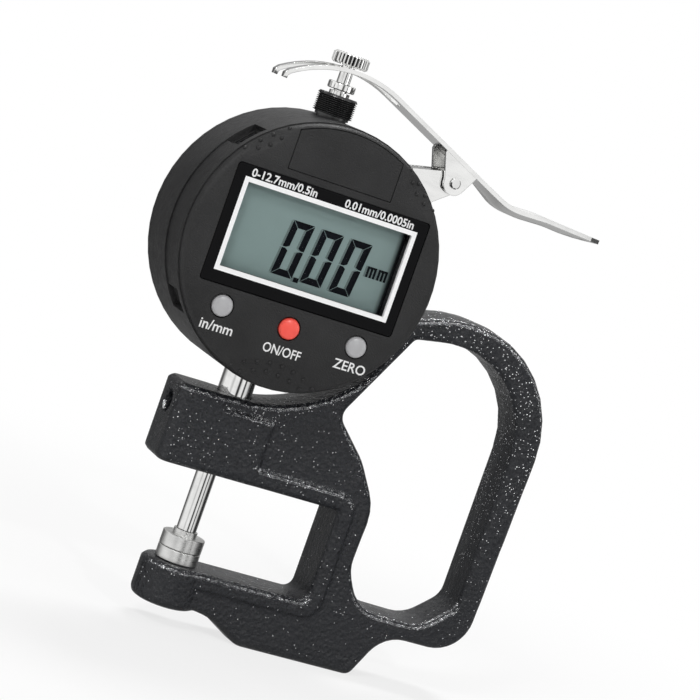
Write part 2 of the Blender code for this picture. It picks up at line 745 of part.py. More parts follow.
def build_front_cover(plastic):
    edge = FACE_EDGE_R
    back = FACE_Y + FACE_T
    inner = CASE_R - CASE_WALL - SEAT_GAP
    profile = [(0.0, FACE_Y), (FACE_R - edge, FACE_Y)]
    for k in (1, 2, 3):
        a = math.radians(k * 30.0)
        profile.append((FACE_R - edge + edge * math.sin(a), FACE_Y + edge - edge * math.cos(a)))
    rim = CASE_FRONT - SEAT_GAP / 2
    spigot = back + SPIGOT_DEPTH
    profile += [(FACE_R, rim), (inner, rim), (inner, spigot), (inner - SPIGOT_T, spigot)]
    profile += [(inner - SPIGOT_T, back), (0.0, back)]
    cover = make_object("front_cover", lathe(profile, RING, "Y", (0.0, 0.0, DIAL_Z)), plastic, angle=32.0)
    bay = BATTERY_R + SEAT_GAP
    tray = tube(bay + TRAY_T, bay, back - 0.5, BOARD_Y - SEAT_GAP * 2, 24, "Y", (0.0, 0.0, BATTERY_Z))
    posts = [rod(POST_R, back - 0.5, BOARD_Y - SEAT_GAP, 16, "Y", (x, 0.0, z)) for x, z in POSTS]
    combine(cover, join(tray, *posts), "UNION", "posts")
    scoops = [scoop_tool(LOW_SCOOP_R, LOW_SCOOP_OFF, LOW_SCOOP_DEPTH, 270.0)]
    for angle in (SIDE_SCOOP_ANGLE, 180.0 - SIDE_SCOOP_ANGLE):
        scoops.append(scoop_tool(SIDE_SCOOP_R, SIDE_SCOOP_OFF, SIDE_SCOOP_DEPTH, angle))
    combine(cover, join(*scoops), "DIFFERENCE", "scoops")
    low = WINDOW_Z - WINDOW_H / 2 - FIT
    high = WINDOW_Z + WINDOW_H / 2 + FIT
    window_seat = FACE_Y + WINDOW_T - WINDOW_PROUD + FIT
    recess = flat(rectangle(WINDOW_W / 2 + FIT, low, high, WINDOW_CORNER_R), FACE_Y - 1.0, window_seat)
    door_seat = FACE_Y + BATTERY_DOOR_T + FIT
    door = flat(battery_door_outline(FIT), FACE_Y - 1.0, door_seat)
    combine(cover, join(recess, door), "DIFFERENCE", "recesses")
    low = SCREEN_Z - SCREEN_H / 2
    cuts = [box(-SCREEN_W / 2, SCREEN_W / 2, FACE_Y - 1.0, back + 1.0, low, low + SCREEN_H)]
    for x, z in button_places().values():
        cuts.append(rod(BUTTON_R + SEAT_GAP, FACE_Y - 1.0, back + 1.0, 24, "Y", (x, 0.0, z)))
    cuts.append(rod(bay, FACE_Y - 1.0, BOARD_Y, 24, "Y", (0.0, 0.0, BATTERY_Z)))
    for x, z in POSTS:
        cuts.append(rod(SCREW_R + FIT, BOARD_Y - 3.0, BOARD_Y, SMALL, "Y", (x, 0.0, z)))
    combine(cover, join(*cuts), "DIFFERENCE", "openings")
    return cover


def button_places():
    return {
        "unit_button": (-SIDE_BUTTON_X, SIDE_BUTTON_Z),
        "power_button": (0.0, MIDDLE_BUTTON_Z),
        "zero_button": (SIDE_BUTTON_X, SIDE_BUTTON_Z),
    }


def build_face_parts(glass, lcd, black_rubber, grey, red, plastic, spring_steel, steel):
    low = WINDOW_Z - WINDOW_H / 2
    front = FACE_Y - WINDOW_PROUD
    pane = plate(rectangle(WINDOW_W / 2, low, low + WINDOW_H, WINDOW_CORNER_R), [],
                 [(0.15, front), (0.0, front + 0.15), (0.0, front + WINDOW_T)])
    make_object("display_window", pane, glass)
    back = FACE_Y + FACE_T
    low = SCREEN_Z - LCD_H / 2
    screen = box(-LCD_W / 2, LCD_W / 2, back + SEAT_GAP, back + SEAT_GAP + LCD_T, low, low + LCD_H)
    make_object("lcd_module", screen, lcd)
    strip_front = back + SEAT_GAP * 2 + LCD_T
    for name, z in (("lower_contact_strip", low + STRIP_H), ("upper_contact_strip", low + LCD_H - STRIP_H)):
        outline = rectangle(STRIP_W / 2, z - STRIP_H / 2, z + STRIP_H / 2, 0.0)
        make_object(name, flat(outline, strip_front, BOARD_Y - SEAT_GAP), black_rubber)
    for name, (x, z) in button_places().items():
        top = FACE_Y - BUTTON_PROUD
        flange = back + SEAT_GAP
        button = lathe([
            (0.0, top), (BUTTON_R - 0.8, top + 0.05), (BUTTON_R - 0.3, top + 0.25), (BUTTON_R, top + 0.7),
            (BUTTON_R, flange), (BUTTON_FLANGE_R, flange), (BUTTON_FLANGE_R, flange + BUTTON_FLANGE_T),
            (0.0, flange + BUTTON_FLANGE_T),
        ], ROUND, "Y", (x, 0.0, z))
        make_object(name, button, red if name == "power_button" else grey, (x, top, z))
    pad_front = back + SEAT_GAP + BUTTON_FLANGE_T + BUTTON_TRAVEL + 0.15
    half = SIDE_BUTTON_X + BUTTON_FLANGE_R
    middle = (SIDE_BUTTON_Z + MIDDLE_BUTTON_Z) / 2
    membrane = flat(rounded([
        (-half, middle - MEMBRANE_H / 2, 2.0), (half, middle - MEMBRANE_H / 2, 2.0),
        (half, middle + MEMBRANE_H / 2, 2.0), (-half, middle + MEMBRANE_H / 2, 2.0),
    ], step_angle=30.0), pad_front, BOARD_Y - SEAT_GAP)
    make_object("key_membrane", membrane, black_rubber)
    door = flat(battery_door_outline(), FACE_Y, FACE_Y + BATTERY_DOOR_T)
    make_object("battery_cover", door, plastic)
    place = (0.0, 0.0, BATTERY_Z)
    clip_front = FACE_Y + BATTERY_DOOR_T + SEAT_GAP
    cell_front = clip_front + CONTACT_LEAF_T + SEAT_GAP
    leaf_front = cell_front + BATTERY_T + SEAT_GAP
    clip = rod(BATTERY_R - 1.2, clip_front, clip_front + CONTACT_LEAF_T, 16, "Y", place)
    make_object("battery_contact_positive", clip, spring_steel)
    cell = rod(BATTERY_R, cell_front, cell_front + BATTERY_T, ROUND, "Y", place, 0.3)
    make_object("battery_cell", cell, steel)
    leaf = rod(BATTERY_R - 1.5, leaf_front, BOARD_Y - SEAT_GAP, 16, "Y", place)
    make_object("battery_contact_negative", leaf, spring_steel)


def build_port_parts(plastic, black_plastic):
    outer = CASE_R - SEAT_GAP
    y0 = PORT_Y[0] + SEAT_GAP
    y1 = PORT_Y[1] - SEAT_GAP
    slide = sector(outer - SLIDE_T, outer, SLIDE_TOP, SLIDE_END, y0, y1, 16)
    make_object("data_port_cover", slide, plastic, (0.0, sum(PORT_Y) / 2, DIAL_Z))
    half = CONNECTOR_W / 2
    front = BOARD_Y + BOARD_T + SEAT_GAP
    block = box(-half, half, front, front + CONNECTOR_T, -CONNECTOR_L, 0.0)
    reach = CASE_R - PORT_DEPTH - SEAT_GAP
    made = make_object("data_connector", radial(block, CONNECTOR_ANGLE, reach), black_plastic)
    wall = CONNECTOR_WALL
    mouth = box(wall - half, half - wall, front + wall, front + CONNECTOR_T - wall, -CONNECTOR_L * 0.4, 1.0)
    combine(made, radial(mouth, CONNECTOR_ANGLE, reach), "DIFFERENCE", "mouth")


def build_board(laminate, screw_steel):
    board = rod(BOARD_R, BOARD_Y, BOARD_Y + BOARD_T, 36, "Y", (0.0, 0.0, DIAL_Z))
    made = make_object("circuit_board", board, laminate)
    holes = []
    for x, z in POSTS:
        holes.append(rod(SCREW_R + FIT, BOARD_Y - 1.0, BOARD_Y + BOARD_T + 1.0, SMALL, "Y", (x, 0.0, z)))
    combine(made, join(*holes), "DIFFERENCE", "screw_holes")
    back = BOARD_Y + BOARD_T + FIT
    for number, (x, z) in enumerate(POSTS, start=1):
        screw = lathe([
            (0.0, BOARD_Y - 2.8), (SCREW_R, BOARD_Y - 2.8), (SCREW_R, back), (SCREW_HEAD_R, back),
            (SCREW_HEAD_R - 0.3, back + 0.8), (0.0, back + 0.8),
        ], SMALL, "Y", (x, 0.0, z))
        make_object(f"board_screw_{number}", screw, screw_steel)


# Spindle and what guides it

def build_stem(steel, brass, black_metal):
    low = DIAL_Z - CASE_R + CASE_WALL
    boss_top = low - CASE_WALL / 2 + CASE_BOSS_L + 1.0
    flange = boss_top + SEAT_GAP
    stem = lathe([
        (STEM_BORE_R, STEM_BOTTOM), (STEM_R - 0.3, STEM_BOTTOM), (STEM_R, STEM_BOTTOM + 0.3),
        (STEM_R, flange), (STEM_FLANGE_R, flange), (STEM_FLANGE_R, flange + STEM_FLANGE_H),
        (STEM_BORE_R, flange + STEM_FLANGE_H),
    ], ROUND, closed=True)
    make_object("stem", stem, steel)
    bush = tube(STEM_BORE_R - FIT, SPINDLE_R + FIT, STEM_BOTTOM + 0.4, STEM_BOTTOM + 0.4 + BUSH_L)
    make_object("lower_bush", bush, brass)
    top = DIAL_Z + CASE_R
    seat = top + SEAT_GAP
    neck = seat + COLLAR_NECK_H
    spigot_end = top - CASE_WALL - CASE_BOSS_L / 2
    profile = [(UPPER_BUSH_R + FIT, spigot_end), (COLLAR_SPIGOT_R, spigot_end), (COLLAR_SPIGOT_R, seat)]
    profile += [(COLLAR_NECK_R, seat), (COLLAR_NECK_R, neck)]
    pitch = (COLLAR_TOP - 0.4 - neck) / COLLAR_THREADS
    for k in range(COLLAR_THREADS):
        z = neck + pitch * k
        profile.append((COLLAR_R - COLLAR_THREAD_DEPTH, z + pitch * 0.08))
        profile.append((COLLAR_R, z + pitch * 0.5))
    profile += [(COLLAR_R - COLLAR_THREAD_DEPTH, COLLAR_TOP), (UPPER_BUSH_R + FIT, COLLAR_TOP)]
    make_object("thread_collar", lathe(profile, ROUND, closed=True), black_metal, angle=60.0)
    bush = tube(UPPER_BUSH_R, ROD_R + FIT, spigot_end, UPPER_BUSH_TOP)
    make_object("upper_bush", bush, brass)
    reach = math.sqrt((CASE_R - CASE_WALL) ** 2 - (abs(GUIDE_X) + GUIDE_R) ** 2) - SEAT_GAP
    guide = rod(GUIDE_R, DIAL_Z - reach, DIAL_Z + reach, SMALL, at=(GUIDE_X, 0.0, 0.0))
    make_object("guide_rod", guide, steel)


def knurled_ring(radius, depth, flutes, low, high, edge):
    """Cap body with straight flutes round its side."""
    bm = bmesh.new()
    rings = []
    for shrink, z in ((edge, low), (0.0, low + edge), (0.0, high - edge), (edge, high)):
        ring = []
        for k in range(flutes * 2):
            a = 2.0 * math.pi * k / (flutes * 2)
            r = radius - shrink - (depth if k % 2 == 0 else 0.0)
            ring.append(bm.verts.new((r * math.cos(a), r * math.sin(a), z)))
        rings.append(ring)
    for under, over in zip(rings, rings[1:]):
        for k in range(len(under)):
            n = (k + 1) % len(under)
            bm.faces.new((under[k], under[n], over[n], over[k]))
    bm.faces.new(rings[0][::-1])
    bm.faces.new(rings[-1])
    return bm


def build_spindle(steel, chrome, moulded, laminate, spring_steel):
    foot = CONTACT_GAP
    hub_top = foot + CONTACT_H + HUB_H
    contact = lathe([
        (0.0, foot), (CONTACT_R - CONTACT_CHAMFER, foot), (CONTACT_R, foot + CONTACT_CHAMFER),
        (CONTACT_R, foot + CONTACT_H - CONTACT_CHAMFER), (CONTACT_R - CONTACT_CHAMFER, foot + CONTACT_H),
        (HUB_R, foot + CONTACT_H), (HUB_R, hub_top), (STUD_R, hub_top), (STUD_R, hub_top + STUD_L),
        (0.0, hub_top + STUD_L),
    ], ROUND)
    make_object("contact_point", contact, steel)
    low = hub_top + CONTACT_GAP
    deep = hub_top + STUD_L + SEAT_GAP
    rod_top = CAP_Z - CONTACT_GAP
    stud_top = CAP_Z + CAP_H - 0.8
    spindle = lathe([
        (0.0, deep), (STUD_R + FIT, deep), (STUD_R + FIT, low), (SPINDLE_R, low), (SPINDLE_R, ROD_START),
        (ROD_R, ROD_START + 0.8), (ROD_R, rod_top), (ROD_END_R, rod_top),
        (ROD_END_R, stud_top), (0.0, stud_top),
    ], ROUND)
    make_object("spindle", spindle, steel)
    knurled = knurled_ring(CAP_R, CAP_FLUTE_DEPTH, CAP_FLUTES, CAP_Z, CAP_Z + CAP_H, 0.35)
    cap = make_object("lifting_cap", knurled, chrome)
    combine(cap, rod(ROD_END_R + FIT, CAP_Z - 1.0, stud_top + FIT, SMALL), "DIFFERENCE", "stud_hole")
    stop_top = STOP_Z + STOP_H
    stop = lathe([
        (ROD_R + FIT, STOP_Z), (STOP_R - 0.2, STOP_Z), (STOP_R, STOP_Z + 0.2), (STOP_R, stop_top - 0.2),
        (STOP_R - 0.2, stop_top), (ROD_R + FIT, stop_top),
    ], ROUND, closed=True)
    make_object("stop_collar", stop, chrome)
    scale_back = BOARD_Y + BOARD_T + SEAT_GAP * 2 + SCALE_T
    front = scale_back + SEAT_GAP
    left = GUIDE_X - GUIDE_R - 2.0
    carrier = box(left, CARRIER_HALF, front, SPINDLE_R + 1.9, CARRIER_Z, CARRIER_Z + CARRIER_H)
    made = make_object("spindle_carrier", carrier, moulded)
    low = CARRIER_Z - 1.0
    high = CARRIER_Z + CARRIER_H + 1.0
    guide_bore = rod(GUIDE_R + FIT * 2, low, high, SMALL, at=(GUIDE_X, 0.0, 0.0))
    combine(made, join(rod(SPINDLE_R + FIT, low, high), guide_bore), "DIFFERENCE", "bores")
    middle = CARRIER_Z + CARRIER_H / 2
    scale = box(-CARRIER_HALF + 0.5, CARRIER_HALF - 0.5, scale_back - SCALE_T, scale_back,
                middle - SCALE_H / 2, middle + SCALE_H / 2)
    make_object("sensor_scale", scale, laminate)
    start = CARRIER_Z + CARRIER_H + SEAT_GAP * 2
    end = DIAL_Z + CASE_R - CASE_WALL / 2 - CASE_BOSS_L - SEAT_GAP * 2
    coil = helix(SPRING_R, start, end, SPRING_TURNS, 6)
    make_object("return_spring", sweep(coil, WIRE_R, 4), spring_steel)


def helix(radius, start, end, turns, steps):
    path = []
    total = turns * steps
    for k in range(total + 1):
        a = 2.0 * math.pi * k / steps
        path.append((radius * math.cos(a), radius * math.sin(a), start + (end - start) * k / total))
    return path


# Lifting lever

def fork_arc():
    """Centre and radius of the fork's arc, on the middle of the sheet."""
    radius = FORK_TOP_R - SHEET_T / 2
    return FORK_TOP_X, FORK_TOP_Z - SHEET_T / 2 - radius, radius


def slope_point(x):
    """Point at x on the straight part of the sheet's middle line."""
    centre_x, centre_z, radius = fork_arc()
    slope = math.radians(LEVER_SLOPE)
    start_x = centre_x + radius * math.sin(slope)
    start_z = centre_z + radius * math.cos(slope)
    return x, start_z - (x - start_x) * math.tan(slope)


def lever_path():
    """Middle line of the sheet from the fork's tips to the thumb end, as (x, z)."""
    fork = arc(*fork_arc(), FORK_TIP_ANGLE, 90.0 - LEVER_SLOPE, 13)
    tip_x, tip_z = fork[0]
    hook = [(tip_x - 0.75, tip_z - 1.7), (tip_x - 0.7, tip_z - 0.75)]
    bend_x = fork[-1][0] + (fork[-1][1] - PAD_Z) / math.tan(math.radians(LEVER_SLOPE))
    rest = rounded([
        fork[-1],
        (bend_x, PAD_Z, 16.0),
        (PAD_END_X - 16.0, PAD_Z + 0.3, 20.0),
        (PAD_END_X, PAD_Z - 0.7),
    ], step_angle=5.0, closed=False)
    return hook + fork + rest[1:]


def split_path(path, stops, limit=4.0):
    """Add points so that the path has one at each x in stops and no step longer than limit."""
    out = [path[0]]
    for (x0, z0), (x1, z1) in zip(path, path[1:]):
        for x in sorted(stop for stop in stops if x0 < stop < x1) + [x1]:
            xa, za = out[-1]
            z = z0 + (z1 - z0) * (x - x0) / (x1 - x0)
            pieces = max(1, math.ceil((x - xa) / limit))
            for j in range(1, pieces + 1):
                out.append((xa + (x - xa) * j / pieces, za + (z - za) * j / pieces))
    return out


def lever_width(x):
    """Half width of the sheet at x, wider at the thumb end, which has round corners."""
    half = LEVER_W / 2
    widening = PIVOT_X + 10.0
    if x > widening:
        half += (PAD_W - LEVER_W) / 2 * min(1.0, (x - widening) / 14.0)
    left = PAD_END_X - x
    if left < PAD_CORNER_R:
        half -= PAD_CORNER_R - math.sqrt(PAD_CORNER_R ** 2 - (PAD_CORNER_R - left) ** 2)
    return half


def lever_sides(x, tip):
    """The four y values of the sheet at x: its two edges and the slot's, or the dish's, between them."""
    half = lever_width(x)
    inner = LEVER_SLOT_W / 2
    if x > LEVER_SLOT_END:
        inner = half * 0.62
    elif x > LEVER_SLOT_END - LEVER_SLOT_W / 4:
        inner = LEVER_SLOT_W / 4
    if tip:
        half -= 0.3
        inner += 0.3
    return -half, -inner, inner, half


def lever_dish(x):
    """Depth of the dished middle of the thumb end at x."""
    into = (x - DISH_START_X) / DISH_FADE
    out_of = (PAD_END_X - 0.5 - x) / (DISH_FADE + 2.0)
    return PAD_DISH * max(0.0, min(1.0, into, out_of))


def lever_sheet():
    """Bent sheet with the open slot of the fork and the dished thumb end."""
    path = split_path(lever_path(), (LEVER_SLOT_END - LEVER_SLOT_W / 4, LEVER_SLOT_END, DISH_START_X))
    bm = bmesh.new()
    rows = []
    for k, (x, z) in enumerate(path):
        x0, z0 = path[max(0, k - 1)]
        x1, z1 = path[min(len(path) - 1, k + 1)]
        normal = Vector((z0 - z1, 0.0, x1 - x0)).normalized() * SHEET_T / 2
        row = []
        for j, y in enumerate(lever_sides(x, tip=k == 0)):
            centre = Vector((x, y, z - lever_dish(x) if j in (1, 2) else z))
            row.append((bm.verts.new(centre + normal), bm.verts.new(centre - normal)))
        rows.append(row)
    slot_rows = sum(1 for x, _ in path if x <= LEVER_SLOT_END)
    for k, (a, b) in enumerate(zip(rows, rows[1:])):
        open_slot = k < slot_rows - 1
        for j in (0, 2) if open_slot else (0, 1, 2):
            bm.faces.new((a[j][0], b[j][0], b[j + 1][0], a[j + 1][0]))
            bm.faces.new((a[j][1], a[j + 1][1], b[j + 1][1], b[j][1]))
        for j in (0, 1, 2, 3) if open_slot else (0, 3):
            bm.faces.new((a[j][0], a[j][1], b[j][1], b[j][0]))
    ends = [(rows[0], 0), (rows[0], 2), (rows[slot_rows - 1], 1)]
    ends += [(rows[-1], j) for j in (0, 1, 2)]
    for row, j in ends:
        bm.faces.new((row[j][0], row[j + 1][0], row[j + 1][1], row[j][1]))
    return bm


def ear(side):
    """Side plate of the lever that hangs on the pin."""
    top_x, top_z = slope_point(PIVOT_X - EAR_LEFT)
    outline = [slope_point(PIVOT_X + EAR_RIGHT), (top_x, top_z), (top_x - 0.25, top_z - 1.1)]
    outline += arc(PIVOT_X, PIVOT_Z, EAR_R, 172.0, 322.0, 9)
    outer = LEVER_W / 2 - MERGE
    y0, y1 = sorted((side * outer, side * (outer - EAR_T)))
    return flat(outline, y0, y1)


def build_lever(chrome, steel):
    pivot = (PIVOT_X, 0.0, PIVOT_Z)
    lever = make_object("lifting_lever", lever_sheet(), chrome, pivot, angle=30.0)
    combine(lever, join(ear(-1), ear(1)), "UNION", "ears")
    combine(lever, rod(PIN_R + FIT, -LEVER_W, LEVER_W, 16, "Y", pivot), "DIFFERENCE", "pin_hole")
    head = LEVER_W / 2 + FIT
    tip = head + PIN_HEAD_H
    pin = lathe([
        (0.0, -tip), (PIN_HEAD_R - 0.3, -tip), (PIN_HEAD_R, 0.3 - tip), (PIN_HEAD_R, -head), (PIN_R, -head),
        (PIN_R, head), (PIN_HEAD_R, head), (PIN_HEAD_R, tip - 0.3), (PIN_HEAD_R - 0.3, tip), (0.0, tip),
    ], 12, "Y", pivot)
    make_object("pivot_pin", pin, steel, pivot)


def build_bracket(chrome, screw_steel, spring_steel):
    """Sheet channel from the case's side wall to the pivot."""
    inner = CASE_R + SEAT_GAP
    low, high = BRACKET_ANGLES
    half = BRACKET_W / 2
    base = sector(inner, inner + BRACKET_T, low - 1.5, high + 1.0, -half, half, 10)
    bracket = make_object("lever_bracket", base, chrome, angle=30.0)
    outline = arc(0.0, DIAL_Z, inner + BRACKET_T / 2, high, low, 8)
    outline += [(PIVOT_X - 3.1, PIVOT_Z - 5.5)]
    outline += arc(PIVOT_X, PIVOT_Z, CHEEK_R, -48.0, 98.0, 8)
    outline += [(PIVOT_X - 10.2, PIVOT_Z + 0.3)]
    cheeks = [flat(outline, y, y + BRACKET_T) for y in (-half + MERGE, half - MERGE - BRACKET_T)]
    combine(bracket, join(*cheeks), "UNION", "cheeks")
    roof = [(PIVOT_X + x, PIVOT_Z + z) for x, z in ((-4.4, 1.45), (-10.1, 0.2), (-11.9, -1.2))]
    under = [(x + 0.2, z - BRACKET_T) for x, z in reversed(roof)]
    roof_half = half - MERGE * 2
    combine(bracket, flat(roof + under, -roof_half, roof_half), "UNION", "roof")
    cuts = [rod(PIN_R + SEAT_GAP, -half - 1.0, half + 1.0, 16, "Y", (PIVOT_X, 0.0, PIVOT_Z))]
    for angle in bracket_screw_angles():
        cuts.append(radial(rod(SCREW_R + FIT, -1.0, BRACKET_T + 1.0, SMALL), angle, inner))
    combine(bracket, join(*cuts), "DIFFERENCE", "holes")
    for number, angle in enumerate(bracket_screw_angles(), start=1):
        head = BRACKET_T + FIT
        screw = lathe([
            (0.0, -1.8), (SCREW_R, -1.8), (SCREW_R, head), (1.5, head), (1.5, head + 0.5),
            (1.2, head + 0.8), (0.0, head + 0.8),
        ], SMALL)
        make_object(f"bracket_screw_{number}", radial(screw, angle, inner), screw_steel)
    make_object("lever_spring", lever_spring(), spring_steel, (PIVOT_X, 0.0, PIVOT_Z))


def lever_spring():
    """Torsion spring round the pin: one leg presses into the bracket, the other lifts the thumb end."""
    half = BRACKET_W / 2 - BRACKET_T - WIRE_R * 2
    steps = 10
    path = [(PIVOT_X - 7.0, -half, PIVOT_Z - 1.6), (PIVOT_X - 3.2, -half, PIVOT_Z + 0.4)]
    total = COIL_TURNS * steps - 1
    for k in range(total + 1):
        a = math.radians(90.0 - 360.0 * k / steps)
        y = -half + 2.0 * half * k / total
        path.append((PIVOT_X + COIL_R * math.cos(a), y, PIVOT_Z + COIL_R * math.sin(a)))
    path.append((PIVOT_X + 1.97, half, PIVOT_Z + 2.99))
    return sweep(path, WIRE_R, 4)


def main():
    clear_scene()
    paint = finish("hammered_black_paint", (0.018, 0.020, 0.024), 0.32, 0.0)
    plastic = finish("dark_grey_plastic", (0.050, 0.050, 0.052), 0.55, 0.0)
    black_plastic = finish("black_plastic", (0.012, 0.012, 0.013), 0.45, 0.0)
    glass = finish("printed_window", (0.008, 0.008, 0.009), 0.08, 0.0)
    lcd = finish("lcd_glass", (0.25, 0.31, 0.29), 0.25, 0.0)
    grey = finish("grey_button_plastic", (0.38, 0.38, 0.39), 0.5, 0.0)
    red = finish("red_button_plastic", (0.80, 0.05, 0.04), 0.45, 0.0)
    rubber = finish("key_rubber", (0.03, 0.03, 0.03), 0.8, 0.0)
    laminate = finish("board_laminate", (0.03, 0.16, 0.07), 0.5, 0.0)
    steel = finish("ground_steel", (0.62, 0.62, 0.61), 0.28, 1.0)
    chrome = finish("nickel_plate", (0.78, 0.78, 0.77), 0.15, 1.0)
    spring_steel = finish("spring_steel", (0.50, 0.50, 0.50), 0.3, 1.0)
    brass = finish("bush_brass", (0.60, 0.43, 0.18), 0.35, 1.0)
    black_metal = finish("blackened_steel", (0.012, 0.012, 0.013), 0.22, 1.0)
    screw_steel = finish("screw_steel", (0.35, 0.35, 0.36), 0.35, 1.0)
    build_frame(paint)
    build_clamp_parts(steel, black_metal)
    build_rear_case(plastic)
    build_back_cover(plastic, screw_steel)
    build_front_cover(plastic)
    build_face_parts(glass, lcd, rubber, grey, red, plastic, spring_steel, chrome)
    build_port_parts(plastic, black_plastic)
    build_board(laminate, screw_steel)
    build_stem(steel, brass, black_metal)
    build_spindle(steel, chrome, black_plastic, laminate, spring_steel)
    build_lever(chrome, steel)
    build_bracket(chrome, screw_steel, spring_steel)


main()
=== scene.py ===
"""Looks of the digital thickness gauge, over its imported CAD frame. Millimetres are written times MM."""

import json
import math

import bmesh
import bpy
from mathutils import Matrix, Vector


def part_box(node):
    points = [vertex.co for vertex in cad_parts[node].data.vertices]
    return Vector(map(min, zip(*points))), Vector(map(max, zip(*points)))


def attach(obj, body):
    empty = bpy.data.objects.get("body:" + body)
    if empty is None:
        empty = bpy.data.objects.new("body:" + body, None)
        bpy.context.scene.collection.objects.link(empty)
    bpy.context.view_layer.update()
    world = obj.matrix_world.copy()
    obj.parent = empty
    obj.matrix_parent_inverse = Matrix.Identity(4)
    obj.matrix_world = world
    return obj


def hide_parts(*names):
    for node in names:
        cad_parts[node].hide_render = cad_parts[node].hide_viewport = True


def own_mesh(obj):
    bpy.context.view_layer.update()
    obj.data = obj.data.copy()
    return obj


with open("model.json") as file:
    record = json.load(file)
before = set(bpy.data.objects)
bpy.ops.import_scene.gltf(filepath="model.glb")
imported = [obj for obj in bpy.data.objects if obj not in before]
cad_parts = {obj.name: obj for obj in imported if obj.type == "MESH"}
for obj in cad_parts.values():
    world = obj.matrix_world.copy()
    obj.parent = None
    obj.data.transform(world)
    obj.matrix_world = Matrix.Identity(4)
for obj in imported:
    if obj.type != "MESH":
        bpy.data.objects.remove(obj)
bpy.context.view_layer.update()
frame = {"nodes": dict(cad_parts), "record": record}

MM = 0.001
NODES = frame["nodes"]

# Camera, worked out from the round case, the frame's edges and the spindle axis; angles in degrees
VIEW_AZIMUTH = 22.54
VIEW_ELEVATION = 5.46
VIEW_ROLL = 19.54
VIEW_DISTANCE = 632.45 * MM
VIEW_TARGET = Vector((23.17, 0.0, 54.69)) * MM
LENS = 142.49
SENSOR = 36.0
CLIP_NEAR = 0.01
CLIP_FAR = 20.0

# Face of the indicator, read off the CAD solids
CASE_LOW, CASE_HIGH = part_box("front_cover")
FACE_Y = CASE_LOW.y
DIAL_Z = (CASE_LOW.z + CASE_HIGH.z) / 2
WINDOW_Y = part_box("display_window")[0].y
LCD_LOW, LCD_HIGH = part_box("lcd_module")

# Clear screen in the printed pane, and the width of the white line round it
SCREEN_Z = 75.35 * MM
SCREEN_HALF_W = 20.05 * MM
SCREEN_HALF_H = 9.55 * MM
BORDER = 1.05 * MM

# Skin of the CAD nodes
SHARP_ANGLE = 32.0    # degrees between faces from which an edge is shaded sharp
SAME_POINT = 0.001 * MM    # vertices nearer than this are merged, so that shading runs across them
CAST_VOXEL = 0.34 * MM    # size at which the casting is remeshed
CAST_SMOOTHING = 3    # how often it is then smoothed, and how strongly
CAST_SOFTNESS = 0.5

# Painted glints on the hammered paint: bright metallic specks that stand in for its sparkle, denser where
# light falls. A share is the part of the cells that has a speck, a radius is in cells
GLINT_CELL = 0.64 * MM
GLINT_HEIGHTS = (-15.0 * MM, 45.0 * MM)
GLINT_SHARE = (0.07, 0.36)    # at those two heights
BOW_SPAN = (75.0 * MM, 108.0 * MM)    # x + z over which the body turns into the handle's bow
BOW_SHARE = 0.25    # added on the bow
GLINT_RADIUS = (0.16, 0.20)    # on the body and on the bow
# Painted highlight lines: glints set densely along edges that look up, where light falls
EDGE_REACH = 0.8 * MM    # how wide an edge's line of specks is
EDGE_SHARE = 0.85
EDGE_RADIUS = 0.8

# Light: the strength of the plain world, and lamps by name, place and size in metres, and watts
AMBIENT = 0.28
LAMPS = (
    ("key", (-0.55, -0.60, 0.70), (0.22, 0.22), 2.8),
    ("sparkle", (0.12, -0.90, 0.50), (0.05, 0.05), 1.7),
    ("fill", (0.75, -0.65, 0.30), (0.5, 0.5), 1.0),
    ("top", (0.15, 0.30, 0.90), (0.35, 0.25), 4.0))
# What metal and gloss see round the object: brightness by angle from the front, towards the right
ROOM = (
    (-62, 1.0), (-48, 0.6), (-38, 1.0), (-14, 0.95), (-8, 0.05), (2, 0.05), (8, 0.85), (20, 0.95), (27, 0.95),
    (31, 0.05), (38, 0.05), (44, 0.85), (60, 0.7), (70, 0.05), (84, 0.1), (92, 0.9), (104, 0.9), (108, 0.05),
    (120, 0.05), (132, 0.45), (157, 0.4), (180, 0.3), (200, 0.1), (215, 0.1), (235, 0.6), (250, 1.0))
ROOM_TOP = (0.35, 0.65)    # height in the room's unit sphere over which it turns to its white ceiling

# Floor
FLOOR_HALF = 3.0
FLOOR_GAP = 0.02 * MM    # between the object's foot and the floor
FLOOR_GREY = 0.96
SHADOW_DEPTH = 0.25    # share of the floor that shows its shadow near the object
SHADOW_REACH = (0.08, 0.26)    # metres from the origin over which that share fades out

# Digits on the display, from the lower left corner of the first one
PRINT_T = 0.03 * MM    # how far print stands off what carries it
BAR_T = PRINT_T * 0.5
SHADOW_LIFT = PRINT_T * 0.4
DIGIT_X = -7.5 * MM
DIGIT_Z = 67.4 * MM
DIGIT_W = 5.15 * MM
DIGIT_H = 12.6 * MM
DIGIT_STROKE = 1.5 * MM
DIGIT_PITCH = 7.12 * MM
DIGIT_SLANT = math.tan(math.radians(6.0))
SEGMENT_GAP = 0.11 * MM
SEGMENT_SHADOW = 0.5 * MM    # how far left of a segment its shadow falls on the display's reflector
POINT_X = -1.3 * MM
POINT_HALF = 0.62 * MM
POINT_DROP = 0.45 * MM    # how far the point reaches below the digits
UNIT_X = (13.85 * MM, 16.6 * MM)    # left edges of the two letters m
UNIT_Z = 72.9 * MM
UNIT_H = 2.5 * MM
UNIT_STEM = 0.54 * MM
UNIT_PITCH = 0.86 * MM
UNIT_SLIT = 0.03 * MM
UNIT_LINK = 0.34 * MM

